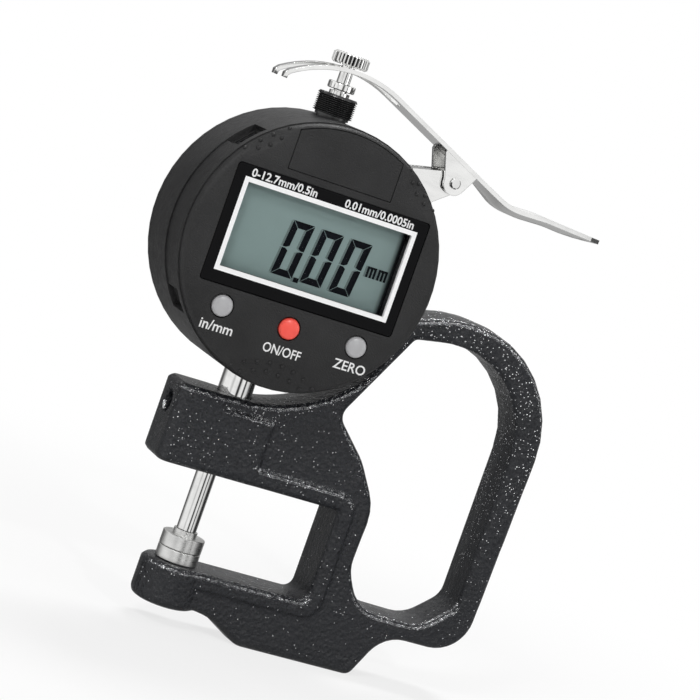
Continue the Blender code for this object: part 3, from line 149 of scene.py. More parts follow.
# Captions by name, text, left and right end, and foot and top in mm; how much bolder they are than the font
KEY_LABELS = (
    ("unit_label", "in/mm", -20.0, -12.2, 51.75, 54.1),
    ("power_label", "ON/OFF", -4.4, 4.7, 50.8, 53.0),
    ("zero_label", "ZERO", 12.6, 20.4, 51.85, 54.1))
KEY_BOLD = 0.012
RANGE_LABELS = (
    ("range_label", "0-12.7mm/0.5in", -20.0, -4.2, 86.2, 88.1),
    ("step_label", "0.01mm/0.0005in", 2.6, 19.7, 86.2, 88.1))
RANGE_BOLD = 0.022

# Grip bumps in the scoops, in mm and degrees: a scoop's centre from the dial's middle, and the radius, count,
# first angle and last angle of each row
SIDE_SCOOP = (24.5, 28.5)
SIDE_ROWS = ((10.0, 5, 197.0, 262.0), (8.5, 2, 219.0, 240.0))
LOW_SCOOP = (0.0, -42.7)
LOW_ROWS = ((18.4, 8, 57.5, 122.5), (16.3, 6, 63.5, 116.5))
BUMP_RADIUS = 0.47 * MM
BUMP_HEIGHT = 0.85    # as a share of a half ball's

# Collar: its shoulder and the start of its thread are over the dial's middle
COLLAR_SHOULDER = 30.3 * MM
COLLAR_THREAD = 30.85 * MM
COLLAR_NECK = 0.7 * MM    # how far the neck lies inside the crests
COLLAR_ROOT = 0.4 * MM    # how far the part in the case lies inside the neck
COLLAR_CHAMFER = 0.35 * MM
BUSH_CLEARANCE = 0.1 * MM
COLLAR_STEPS = 72
THREAD_TURNS = 10
THREAD_DEPTH = 0.55 * MM

# Knurled cap
CAP_BORE = 1.2 * MM
CAP_TEETH = 30
CAP_KNURL = 0.38 * MM
CAP_CHAMFER = 0.45 * MM    # height of the chamfers under and over the skirt
CAP_FOOT = 0.5 * MM    # how far in they reach
CAP_CROWN = 0.55 * MM
# The knurl's grooves carry painted shade; this rim is left bright
CAP_RIM = 0.35 * MM    # bright rim under and over the dark grooves

# Return spring
COIL_WIRE = 0.28 * MM    # radius of the wire
COIL_TURNS = 9
COIL_STEPS = 24
COIL_SIDES = 8
COIL_END = 2.2 * COIL_WIRE    # rise of the closed turn at each end


# Node helpers

class Shader:
    """A material's node tree with short calls for the nodes used here."""

    def __init__(self, name, colour, roughness, metallic=0.0):
        self.made = bpy.data.materials.new(name)
        self.made.use_nodes = True
        self.tree = self.made.node_tree
        self.bsdf = self.tree.nodes["Principled BSDF"]
        self.bsdf.inputs["Base Color"].default_value = (*colour, 1.0)
        self.bsdf.inputs["Roughness"].default_value = roughness
        self.bsdf.inputs["Metallic"].default_value = metallic
        self.place = self.add("ShaderNodeTexCoord").outputs["Object"]

    def add(self, kind, **values):
        node = self.tree.nodes.new(kind)
        for key, value in values.items():
            setattr(node, key, value)
        return node

    def link(self, source, target):
        self.tree.links.new(source, target)

    def stretch(self, scale):
        """Object coordinates scaled by a different factor along each axis."""
        node = self.add("ShaderNodeMapping")
        node.inputs["Scale"].default_value = scale
        self.link(self.place, node.inputs["Vector"])
        return node.outputs["Vector"]

    def noise(self, size, detail=2.0, rough=0.5, vector=None):
        """Noise whose features are about size metres across."""
        node = self.add("ShaderNodeTexNoise")
        node.inputs["Scale"].default_value = 1.0 / size
        node.inputs["Detail"].default_value = detail
        node.inputs["Roughness"].default_value = rough
        self.link(vector or self.place, node.inputs["Vector"])
        return node.outputs["Fac"]

    def cells(self, size, feature="F1", smooth=0.0):
        """Distance to the nearest of points size metres apart, in units of size, and that point's colour."""
        node = self.add("ShaderNodeTexVoronoi", feature=feature)
        node.inputs["Scale"].default_value = 1.0 / size
        if feature == "SMOOTH_F1":
            node.inputs["Smoothness"].default_value = smooth
        self.link(self.place, node.inputs["Vector"])
        return node.outputs["Distance"], node.outputs.get("Color")

    def spread(self, value, low, high, out_low, out_high):
        """Map value from low..high to out_low..out_high, clamped."""
        node = self.add("ShaderNodeMapRange")
        node.inputs["From Min"].default_value = low
        node.inputs["From Max"].default_value = high
        node.inputs["To Min"].default_value = out_low
        node.inputs["To Max"].default_value = out_high
        self.link(value, node.inputs["Value"])
        return node.outputs["Result"]

    def math(self, operation, a, b=None):
        node = self.add("ShaderNodeMath", operation=operation)
        for socket, value in zip(node.inputs, (a, b)):
            if value is None:
                continue
            if isinstance(value, (int, float)):
                socket.default_value = value
            else:
                self.link(value, socket)
        return node.outputs["Value"]

    def blend(self, factor, a, b):
        """Colour that goes from a to b."""
        node = self.add("ShaderNodeMix", data_type="RGBA")
        self.link(factor, node.inputs[0])
        for index, value in ((6, a), (7, b)):
            if isinstance(value, tuple):
                node.inputs[index].default_value = (*value, 1.0)
            else:
                self.link(value, node.inputs[index])
        return node.outputs[2]

    def bump(self, height, distance, strength=1.0, after=None):
        node = self.add("ShaderNodeBump")
        node.inputs["Strength"].default_value = strength
        node.inputs["Distance"].default_value = distance
        self.link(height, node.inputs["Height"])
        if after is not None:
            self.link(after, node.inputs["Normal"])
        return node.outputs["Normal"]

    def soft_edges(self, radius):
        """Normal that rounds the mesh's edges by radius."""
        node = self.add("ShaderNodeBevel", samples=4)
        node.inputs["Radius"].default_value = radius
        return node.outputs["Normal"]

    def axes(self):
        node = self.add("ShaderNodeSeparateXYZ")
        self.link(self.place, node.inputs["Vector"])
        return node.outputs["X"], node.outputs["Y"], node.outputs["Z"]

    def inside(self, x, z, centre_z, half_w, half_h):
        """1 inside a rectangle of the XZ plane about (0, centre_z), else 0."""
        along = self.math("LESS_THAN", self.math("ABSOLUTE", x), half_w)
        up = self.math("ABSOLUTE", self.math("SUBTRACT", z, centre_z))
        return self.math("MULTIPLY", along, self.math("LESS_THAN", up, half_h))

    def set(self, **sockets):
        for key, value in sockets.items():
            socket = self.bsdf.inputs[key.replace("_", " ")]
            if isinstance(value, (int, float, tuple)):
                socket.default_value = value
            else:
                self.link(value, socket)
        return self.made


# Materials

def lit_edges(s):
    """1 on edges that look up and to the front or back, which get painted highlight lines, else 0."""
    rounded = s.soft_edges(EDGE_REACH)
    turn = s.add("ShaderNodeVectorMath", operation="DOT_PRODUCT")
    s.link(rounded, turn.inputs[0])
    s.link(s.add("ShaderNodeNewGeometry").outputs["True Normal"], turn.inputs[1])
    facing = s.add("ShaderNodeSeparateXYZ")
    s.link(rounded, facing.inputs["Vector"])
    upward = s.spread(facing.outputs["Z"], 0.10, 0.30, 0.0, 1.0)
    sideways = s.spread(s.math("ABSOLUTE", facing.outputs["Y"]), 0.30, 0.45, 0.0, 1.0)
    bent = s.spread(turn.outputs["Value"], 0.992, 0.96, 0.0, 1.0)
    return s.math("MULTIPLY", bent, s.math("MULTIPLY", upward, sideways))


def painted_glints(s):
    """1 on the painted glints, which are denser where light falls: up the casting, on its bow and as painted
    highlight lines along lit edges, else 0.
    """
    spot, chance = s.cells(GLINT_CELL)
    drawn = s.add("ShaderNodeSeparateColor")
    s.link(chance, drawn.inputs["Color"])
    edge = lit_edges(s)
    x, _, z = s.axes()
    bow = s.spread(s.math("ADD", x, z), *BOW_SPAN, 0.0, BOW_SHARE)
    patch = s.spread(s.noise(12.0 * MM, 2.0), 0.35, 0.65, -0.1, 0.2)
    # Painted light: more glints up the casting and on the bow, where light falls; the patch noise varies them
    # at random
    share = s.math("ADD", s.spread(z, *GLINT_HEIGHTS, *GLINT_SHARE), s.math("ADD", bow, patch))
    # Painted highlight lines along edges that look up
    share = s.math("ADD", share, s.math("MULTIPLY", edge, EDGE_SHARE))
    radius = s.spread(bow, 0.0, BOW_SHARE, *GLINT_RADIUS)
    radius = s.math("ADD", radius, s.math("MULTIPLY", edge, EDGE_RADIUS))
    near = s.math("LESS_THAN", spot, radius)
    return s.math("MULTIPLY", near, s.math("LESS_THAN", drawn.outputs["Red"], share))


def hammered_paint():
    """Wet black paint with dimples and ripples, and painted glints: bright metallic specks that stand in for
    its sparkle where light falls.
    """
    s = Shader("hammered_black_paint", (0.012, 0.013, 0.016), 0.22)
    dimples, _ = s.cells(1.0 * MM, "SMOOTH_F1", 0.35)
    ripples = s.noise(0.42 * MM, 3.0, 0.6)
    lumps = s.noise(3.0 * MM, 1.0, 0.5)
    wet = s.math("ADD", dimples, ripples)
    normal = s.bump(lumps, 0.10 * MM, 0.5, s.soft_edges(0.35 * MM))
    normal = s.bump(wet, 0.30 * MM, 1.0, normal)
    tint = s.blend(s.spread(ripples, 0.35, 0.7, 0.0, 1.0), (0.009, 0.010, 0.0125), (0.018, 0.0195, 0.024))
    rough = s.spread(s.noise(6.0 * MM), 0.3, 0.7, 0.16, 0.26)
    glint = painted_glints(s)
    # Painted glints: white metallic specks
    tint = s.blend(glint, tint, (0.95, 0.96, 0.98))
    return s.set(Base_Color=tint, Metallic=glint, Roughness=rough, Normal=normal, Specular_IOR_Level=0.35)


def moulded_plastic(name, colour, lighter):
    """Matt plastic with a fine grain and a faint cloud between its two colours."""
    s = Shader(name, colour, 0.4)
    fine = s.noise(0.34 * MM, 2.0, 0.6)
    cloud = s.noise(9.0 * MM, 3.0, 0.55)
    tint = s.blend(s.spread(cloud, 0.3, 0.75, 0.0, 1.0), colour, lighter)
    rough = s.spread(s.noise(1.6 * MM, 3.0), 0.3, 0.7, 0.35, 0.46)
    normal = s.bump(fine, 0.16 * MM, 0.8, s.soft_edges(0.18 * MM))
    return s.set(Base_Color=tint, Roughness=rough, Normal=normal, Specular_IOR_Level=0.25)


def printed_window():
    """Pane with a black back and a white line round its clear screen."""
    s = Shader("printed_window", (0.006, 0.006, 0.007), 0.06)
    x, _, z = s.axes()
    screen = s.inside(x, z, SCREEN_Z, SCREEN_HALF_W, SCREEN_HALF_H)
    border = s.inside(x, z, SCREEN_Z, SCREEN_HALF_W + BORDER, SCREEN_HALF_H + BORDER)
    dust = s.spread(s.noise(0.5 * MM, 4.0, 0.7), 0.55, 0.9, 0.0, 0.35)
    black = s.blend(dust, (0.003, 0.003, 0.0035), (0.008, 0.008, 0.009))
    white = s.blend(s.noise(0.6 * MM), (0.93, 0.93, 0.93), (0.98, 0.98, 0.98))
    ring = s.math("SUBTRACT", border, screen)
    ink = s.blend(ring, black, white)
    alpha = s.spread(screen, 0.0, 1.0, 1.0, 0.03)
    rough = s.spread(s.noise(4.0 * MM), 0.3, 0.7, 0.05, 0.10)
    return s.set(Base_Color=ink, Alpha=alpha, Roughness=rough, Specular_IOR_Level=0.08)


def lcd_glass():
    """Grey-green display with painted light, lighter at its left and top, and painted shade of the bezel,
    dark along its right edge.
    """
    s = Shader("lcd_glass", (0.27, 0.34, 0.31), 0.25)
    x, _, z = s.axes()
    across = s.spread(x, LCD_LOW.x, LCD_HIGH.x, 0.0, 1.0)
    up = s.spread(z, LCD_LOW.z, LCD_HIGH.z, 0.0, 1.0)
    grain = s.spread(s.noise(0.25 * MM, 2.0), 0.3, 0.7, 0.0, 1.0)
    # Painted light: lighter towards the left and the top
    painted_light = s.blend(across, (0.245, 0.335, 0.325), (0.225, 0.302, 0.294))
    painted_light = s.blend(s.math("MULTIPLY", up, 0.3), painted_light, (0.29, 0.375, 0.367))
    tint = s.blend(s.math("MULTIPLY", grain, 0.25), painted_light, (0.215, 0.29, 0.283))
    # Painted shade of the bezel along the right edge
    edge = s.spread(x, SCREEN_HALF_W - 1.7 * MM, SCREEN_HALF_W - 0.5 * MM, 0.0, 1.0)
    tint = s.blend(edge, tint, (0.006, 0.007, 0.008))
    return s.set(Base_Color=tint, Roughness=0.35, Specular_IOR_Level=0.1)


def lcd_ink():
    s = Shader("lcd_ink", (0.008, 0.009, 0.011), 0.8)
    tint = s.blend(s.noise(0.4 * MM), (0.006, 0.007, 0.009), (0.012, 0.013, 0.016))
    return s.set(Base_Color=tint, Specular_IOR_Level=0.0)


def lcd_shadow():
    """Shadow of the segments on the reflector behind them."""
    s = Shader("lcd_shadow", (0.03, 0.035, 0.04), 0.9)
    tint = s.blend(s.noise(0.8 * MM), (0.03, 0.036, 0.04), (0.045, 0.052, 0.056))
    return s.set(Base_Color=tint, Alpha=0.28, Specular_IOR_Level=0.0)


def label_ink():
    s = Shader("label_ink", (0.82, 0.82, 0.82), 0.5)
    tint = s.blend(s.noise(0.3 * MM, 3.0, 0.7), (0.74, 0.74, 0.74), (0.88, 0.88, 0.88))
    return s.set(Base_Color=tint)


def button_plastic(name, colour, lighter):
    s = Shader(name, colour, 0.38)
    tint = s.blend(s.noise(1.4 * MM, 3.0), colour, lighter)
    rough = s.spread(s.noise(0.4 * MM), 0.3, 0.7, 0.32, 0.45)
    normal = s.bump(s.noise(0.15 * MM), 0.01 * MM, 0.5, s.soft_edges(0.2 * MM))
    return s.set(Base_Color=tint, Roughness=rough, Normal=normal, Coat_Weight=0.2, Coat_Roughness=0.2)


def turned_steel(name, colour, roughness, marks=(0.35, 0.35, 14.0)):
    """Turned or ground metal with fine marks that run round the part."""
    s = Shader(name, colour, roughness, 1.0)
    rings = s.noise(2.2 * MM, 4.0, 0.65, s.stretch(marks))
    stain = s.noise(2.5 * MM, 3.0)
    tint = s.blend(s.spread(stain, 0.3, 0.75, 0.0, 1.0), colour, tuple(c * 0.82 for c in colour))
    rough = s.spread(rings, 0.3, 0.7, roughness * 0.75, roughness * 1.4)
    normal = s.bump(rings, 0.006 * MM, 0.5, s.soft_edges(0.12 * MM))
    return s.set(Base_Color=tint, Roughness=rough, Normal=normal)


def rolled_plate(name, colour, roughness):
    """Bright plated sheet with faint rolling marks along its length."""
    s = Shader(name, colour, roughness, 1.0)
    marks = s.noise(1.5 * MM, 4.0, 0.6, s.stretch((0.25, 3.0, 0.8)))
    waves = s.noise(5.0 * MM, 2.0)
    tint = s.blend(s.spread(marks, 0.3, 0.75, 0.0, 1.0), colour, tuple(c * 0.9 for c in colour))
    rough = s.spread(marks, 0.3, 0.7, roughness * 0.8, roughness * 1.35)
    normal = s.bump(waves, 0.05 * MM, 0.35, s.soft_edges(0.2 * MM))
    normal = s.bump(marks, 0.004 * MM, 0.4, normal)
    return s.set(Base_Color=tint, Roughness=rough, Normal=normal)


def knurled_plate(low, high, radius):
    """Bright plate with painted shade in the knurl grooves on the skirt between the heights low and high."""
    s = Shader("knurled_plate", (0.86, 0.86, 0.85), 0.14, 1.0)
    x, y, z = s.axes()
    reach = s.math("SQRT", s.math("ADD", s.math("MULTIPLY", x, x), s.math("MULTIPLY", y, y)))
    groove = s.spread(reach, radius - CAP_KNURL * 0.9, radius - CAP_KNURL * 0.4, 1.0, 0.0)
    off_middle = s.math("ABSOLUTE", s.math("SUBTRACT", z, (low + high) / 2))
    skirt = s.math("LESS_THAN", off_middle, (high - low) / 2 - CAP_RIM)
    stain = s.blend(s.noise(0.8 * MM, 3.0), (0.88, 0.88, 0.87), (0.74, 0.74, 0.73))
    # Painted shade: the grooves on the skirt are coloured dark
    tint = s.blend(s.math("MULTIPLY", groove, skirt), stain, (0.05, 0.05, 0.05))
    return s.set(Base_Color=tint, Normal=s.soft_edges(0.06 * MM))


def circuit_laminate():
    s = Shader("circuit_laminate", (0.02, 0.13, 0.06), 0.4)
    weave = s.noise(0.3 * MM, 2.0)
    tracks, _ = s.cells(1.8 * MM, "DISTANCE_TO_EDGE")
    tint = s.blend(s.spread(tracks, 0.04, 0.10, 1.0, 0.0), (0.015, 0.11, 0.05), (0.05, 0.22, 0.09))
    return s.set(Base_Color=tint, Normal=s.bump(weave, 0.01 * MM, 0.5), Coat_Weight=0.4)


def rubber():
    s = Shader("key_rubber", (0.02, 0.02, 0.02), 0.75)
    tint = s.blend(s.noise(1.0 * MM, 3.0), (0.016, 0.016, 0.017), (0.035, 0.035, 0.036))
    return s.set(Base_Color=tint, Normal=s.bump(s.noise(0.12 * MM), 0.02 * MM, 0.6))


def oxide_black():
    s = Shader("blackened_steel", (0.010, 0.010, 0.011), 0.28)
    tint = s.blend(s.noise(1.2 * MM, 3.0), (0.007, 0.007, 0.008), (0.016, 0.016, 0.017))
    normal = s.bump(s.noise(0.3 * MM, 3.0), 0.01 * MM, 0.5, s.soft_edges(0.05 * MM))
    return s.set(Base_Color=tint, Normal=normal, Specular_IOR_Level=0.7)


# Pieces

def new_piece(name, bm, material, body="gauge", smooth=35.0):
    """Bmesh in metres, in the row frame, as a piece that rides on body."""
    bmesh.ops.recalc_face_normals(bm, faces=bm.faces)
    mesh = bpy.data.meshes.new(name)
    bm.to_mesh(mesh)
    bm.free()
    mesh.materials.append(material)
    mesh.shade_smooth()
    mesh.set_sharp_from_angle(angle=math.radians(smooth))
    made = bpy.data.objects.new(name, mesh)
    bpy.context.scene.collection.objects.link(made)
    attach(made, body)
    return made


def prism(bm, outline, y, depth):
    """Closed plate of an (x, z) outline, front face at y."""
    front = [bm.verts.new((x, y, z)) for x, z in outline]
    back = [bm.verts.new((x, y + depth, z)) for x, z in outline]
    bm.faces.new(front)
    bm.faces.new(back[::-1])
    for k in range(len(outline)):
        n = (k + 1) % len(outline)
        bm.faces.new((front[k], front[n], back[n], back[k]))


def block(bm, x, z, width, height, y):
    """Thin rectangle with its lower left corner at (x, z) and its front at y."""
    prism(bm, [(x, z), (x + width, z), (x + width, z + height), (x, z + height)], y, BAR_T)


def skin(bm, rings, capped=False):
    """Skin through rings of points. The last ring joins the first, or a flat cap closes each end."""
    loops = [[bm.verts.new(point) for point in ring] for ring in rings]
    for a, b in zip(loops, loops[1:] if capped else loops[1:] + loops[:1]):
        for k in range(len(a)):
            n = (k + 1) % len(a)
            bm.faces.new((a[k], a[n], b[n], b[k]))
    if capped:
        bm.faces.new(loops[0][::-1])
        bm.faces.new(loops[-1])


def segments(w, h, t):
    """Outlines of the six bars of a zero, from its lower left corner: width w, height h, stroke t."""
    gap = SEGMENT_GAP
    mid = h / 2
    bars = {
        "top": [(gap, h), (w - gap, h), (w - t - gap, h - t), (t + gap, h - t)],
        "bottom": [(gap, 0), (t + gap, t), (w - t - gap, t), (w - gap, 0)],
        "left_up": [(0, h - gap), (t, h - t - gap), (t, mid + t * 0.35), (t * 0.5, mid + gap),
                    (0, mid + gap)],
        "left_low": [(0, gap), (0, mid - gap), (t * 0.5, mid - gap), (t, mid - t * 0.35), (t, t + gap)],
    }
    for side in ("up", "low"):
        bars["right_" + side] = [(w - x, z) for x, z in reversed(bars["left_" + side])]
    return bars


def add_display_digits(name, material, y, shift=0.0):
    """0.00 and the unit, as thin bars whose front is at y, moved right by shift."""
    bm = bmesh.new()
    zero = segments(DIGIT_W, DIGIT_H, DIGIT_STROKE)
    for k in range(3):
        x0 = DIGIT_X + shift + DIGIT_PITCH * k
        for outline in zero.values():
            prism(bm, [(x0 + x + z * DIGIT_SLANT, DIGIT_Z + z) for x, z in outline], y, BAR_T)
    block(bm, POINT_X + shift - POINT_HALF, DIGIT_Z - POINT_DROP, 2 * POINT_HALF, POINT_DROP + POINT_HALF, y)
    for start in UNIT_X:
        stems = [start + shift + k * UNIT_PITCH for k in range(3)]
        for x in stems:
            block(bm, x, UNIT_Z, UNIT_STEM, UNIT_H, y)
        for x in stems[:2]:
            block(bm, x + UNIT_STEM + UNIT_SLIT, UNIT_Z + UNIT_H - UNIT_STEM, UNIT_LINK, UNIT_STEM, y)
    new_piece(name, bm, material)


def add_label(name, text, span_x, span_z, face_y, material, bold):
    """Flat printed text that fills the given box on a face that looks to -Y."""
    curve = bpy.data.curves.new(name, "FONT")
    curve.body = text
    curve.size = 1.0
    curve.resolution_u = 3
    curve.offset = bold
    holder = bpy.data.objects.new(name + "_outline", curve)
    bpy.context.scene.collection.objects.link(holder)
    bpy.context.view_layer.update()
    flat = bpy.data.meshes.new_from_object(holder.evaluated_get(bpy.context.evaluated_depsgraph_get()))
    bpy.data.objects.remove(holder, do_unlink=True)
    bpy.data.curves.remove(curve)
    xs = [v.co.x for v in flat.vertices]
    ys = [v.co.y for v in flat.vertices]
    scale_x = (span_x[1] - span_x[0]) / (max(xs) - min(xs))
    scale_z = (span_z[1] - span_z[0]) / (max(ys) - min(ys))
    bm = bmesh.new()
    bm.from_mesh(flat)
    bpy.data.meshes.remove(flat)
    bmesh.ops.remove_doubles(bm, verts=bm.verts, dist=1e-5)
    for vert in bm.verts:
        x = span_x[0] + (vert.co.x - min(xs)) * scale_x
        z = span_z[0] + (vert.co.y - min(ys)) * scale_z
        vert.co = Vector((x, face_y, z))
    grown = bmesh.ops.extrude_face_region(bm, geom=list(bm.faces))
    moved = [item for item in grown["geom"] if isinstance(item, bmesh.types.BMVert)]
    bmesh.ops.translate(bm, verts=moved, vec=Vector((0.0, -PRINT_T, 0.0)))
    new_piece(name, bm, material, smooth=20.0)


def add_labels(rows, face_y, material, bold):
    for name, text, left, right, foot, top in rows:
        add_label(name, text, (left * MM, right * MM), (foot * MM, top * MM), face_y, material, bold)


def on_face(x, z):
    """Where a ray from the front meets the front cover, and the cover's normal there."""
    start = Vector((x, FACE_Y - 10.0 * MM, z))
    _, where, normal, _ = NODES["front_cover"].ray_cast(start, Vector((0.0, 1.0, 0.0)))
    return where, normal


def arc_points(centre, rows):
    """Points (x, z) from the dial's middle, in rows on arcs round centre."""
    points = []
    for radius, count, first, last in rows:
        for k in range(count):
            a = math.radians(first + (last - first) * k / (count - 1))
            points.append(((centre[0] + radius * math.cos(a)) * MM, (centre[1] + radius * math.sin(a)) * MM))
    return points


def add_grip_bumps(material):
    """Small domes that stand in the scoops of the face, in two rows along each scoop's edge."""
    right = arc_points(SIDE_SCOOP, SIDE_ROWS)
    left = [(-x, z) for x, z in right]
    flat = Matrix.Diagonal((1.0, 1.0, BUMP_HEIGHT, 1.0))
    bm = bmesh.new()
    for x, z in left + right + arc_points(LOW_SCOOP, LOW_ROWS):
        where, normal = on_face(x, DIAL_Z + z)
        turn = normal.to_track_quat("Z", "Y").to_matrix().to_4x4()
        bmesh.ops.create_uvsphere(bm, u_segments=12, v_segments=8, radius=BUMP_RADIUS,
                                  matrix=Matrix.Translation(where) @ turn @ flat)
    new_piece("grip_bumps", bm, material, smooth=180.0)


def add_collar_thread(material):
    """The black collar with its fine outer thread."""
    low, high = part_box("thread_collar")
    radius = (high.x - low.x) / 2
    bush_low, bush_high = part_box("upper_bush")
    inner = (bush_high.x - bush_low.x) / 2 + BUSH_CLEARANCE
    neck = radius - COLLAR_NECK
    root = neck - COLLAR_ROOT
    shoulder = DIAL_Z + COLLAR_SHOULDER
    start = DIAL_Z + COLLAR_THREAD
    pitch = (high.z - COLLAR_CHAMFER - start) / THREAD_TURNS
    profile = [(inner, low.z), (root, low.z), (root, shoulder), (neck, shoulder), (neck, start)]
    for k in range(THREAD_TURNS):
        z = start + pitch * k
        profile += [(radius - THREAD_DEPTH, z + pitch * 0.08), (radius, z + pitch * 0.46),
                    (radius, z + pitch * 0.62)]
    profile += [(radius - COLLAR_CHAMFER, high.z), (inner, high.z)]
    turn = [2 * math.pi * k / COLLAR_STEPS for k in range(COLLAR_STEPS)]
    bm = bmesh.new()
    skin(bm, [[(r * math.cos(a), r * math.sin(a), z) for a in turn] for r, z in profile])
    made = new_piece("collar_thread", bm, material, smooth=50.0)
    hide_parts("thread_collar")


def add_knurled_cap():
    """The lifting cap with its fine straight knurl, round the spindle's top rod."""
    low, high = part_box("lifting_cap")
    radius = (high.x - low.x) / 2
    skirt_low = low.z + CAP_CHAMFER
    skirt_high = high.z - CAP_CHAMFER
    profile = [(CAP_BORE, low.z, 0.0), (radius - CAP_FOOT, low.z, 0.0), (radius, skirt_low, CAP_KNURL),
               (radius, skirt_high, CAP_KNURL), (radius - CAP_CROWN, high.z, 0.0), (CAP_BORE, high.z, 0.0)]
    rings = []
    for crest, z, depth in profile:
        ring = []
        for k in range(CAP_TEETH * 4):
            a = 2 * math.pi * k / (CAP_TEETH * 4)
            reach = crest if k % 4 < 2 else crest - depth
            ring.append((reach * math.cos(a), reach * math.sin(a), z))
        rings.append(ring)
    bm = bmesh.new()
    skin(bm, rings)
    material = knurled_plate(low.z, high.z, radius)
    made = new_piece("knurled_cap", bm, material, body="measuring_spindle", smooth=25.0)
    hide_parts("lifting_cap")


def coil_rings(low_z, high_z, radius):
    """Rings of points round a wire that is wound between two heights, with a closed turn at each end."""
    total = COIL_TURNS * COIL_STEPS
    free = total - 2 * COIL_STEPS
    climb = high_z - low_z - 2 * COIL_WIRE - 2 * COIL_END
    rings = []
    for k in range(total + 1):
        a = 2 * math.pi * k / COIL_STEPS
        closed = (min(k, COIL_STEPS) + max(k - total + COIL_STEPS, 0)) / COIL_STEPS
        rise = min(max(k - COIL_STEPS, 0), free) / free
        z = low_z + COIL_WIRE + COIL_END * closed + climb * rise
        ring = []
        for m in range(COIL_SIDES):
            b = 2 * math.pi * m / COIL_SIDES
            reach = radius + COIL_WIRE * math.cos(b)
            ring.append((reach * math.cos(a), reach * math.sin(a), z + COIL_WIRE * math.sin(b)))
        rings.append(ring)
    return rings


def add_return_coil(material):
    """The spindle's return spring, held at its top. It is built at rest and is not pressed together as the
    spindle rises.
    """
    low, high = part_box("return_spring")
    bm = bmesh.new()
    skin(bm, coil_rings(low.z, high.z, (high.x - low.x) / 2 - COIL_WIRE), capped=True)
    made = new_piece("return_coil", bm, material)
    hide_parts("return_spring")
    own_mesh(made)


# Studio

def add_light(name, where, size, power):
    """White area lamp that points at the middle of the view."""
    lamp = bpy.data.lights.new(name, "AREA")
    lamp.shape = "RECTANGLE"
    lamp.size, lamp.size_y = size
    lamp.energy = power
    made = bpy.data.objects.new(name, lamp)
    made.location = where
    made.rotation_euler = (VIEW_TARGET - Vector(where)).to_track_quat("-Z", "Y").to_euler()
    bpy.context.scene.collection.objects.link(made)


def add_world():
    """Plain ambient light. The camera and glass see white, and gloss sees the room with its dark strips."""
    world = bpy.data.worlds.new("studio")
    bpy.context.scene.world = world
    world.use_nodes = True
    tree = world.node_tree
    tree.nodes.clear()
    link = tree.links.new
    out = tree.nodes.new("ShaderNodeOutputWorld")
    ambient, white, seen = (tree.nodes.new("ShaderNodeBackground") for _ in range(3))
    for shade in (ambient, white):
        shade.inputs["Color"].default_value = (1.0, 1.0, 1.0, 1.0)
    ambient.inputs["Strength"].default_value = AMBIENT
    place = tree.nodes.new("ShaderNodeTexCoord")
    angle = tree.nodes.new("ShaderNodeTexGradient")
    angle.gradient_type = "RADIAL"
    link(place.outputs["Generated"], angle.inputs["Vector"])
    ramp = tree.nodes.new("ShaderNodeValToRGB")
    stops = ramp.color_ramp.elements
    stops[0].color = stops[1].color = (1.0, 1.0, 1.0, 1.0)
    for degrees, bright in ROOM:
        # The gradient starts at the left, a quarter turn before the front
        stops.new((degrees + 90.0) / 360.0).color = (bright, bright, bright, 1.0)
    link(angle.outputs["Fac"], ramp.inputs["Fac"])
    axes = tree.nodes.new("ShaderNodeSeparateXYZ")
    link(place.outputs["Generated"], axes.inputs["Vector"])
    rise = tree.nodes.new("ShaderNodeMapRange")
    rise.inputs["From Min"].default_value, rise.inputs["From Max"].default_value = ROOM_TOP
    link(axes.outputs["Z"], rise.inputs["Value"])
    ceiling = tree.nodes.new("ShaderNodeMix")
    ceiling.data_type = "RGBA"
    ceiling.inputs[7].default_value = (1.0, 1.0, 1.0, 1.0)
    link(rise.outputs["Result"], ceiling.inputs[0])
    link(ramp.outputs["Color"], ceiling.inputs[6])
    link(ceiling.outputs[2], seen.inputs["Color"])
    path = tree.nodes.new("ShaderNodeLightPath")
    clear = tree.nodes.new("ShaderNodeMath")
    clear.operation = "MAXIMUM"
    link(path.outputs["Is Camera Ray"], clear.inputs[0])
    link(path.outputs["Is Transmission Ray"], clear.inputs[1])
    mirrored = tree.nodes.new("ShaderNodeMixShader")
    link(path.outputs["Is Glossy Ray"], mirrored.inputs["Fac"])
    link(ambient.outputs[0], mirrored.inputs[1])
    link(seen.outputs[0], mirrored.inputs[2])
    mix = tree.nodes.new("ShaderNodeMixShader")
    link(clear.outputs[0], mix.inputs["Fac"])
    link(mirrored.outputs[0], mix.inputs[1])
    link(white.outputs[0], mix.inputs[2])
    link(mix.outputs[0], out.inputs["Surface"])


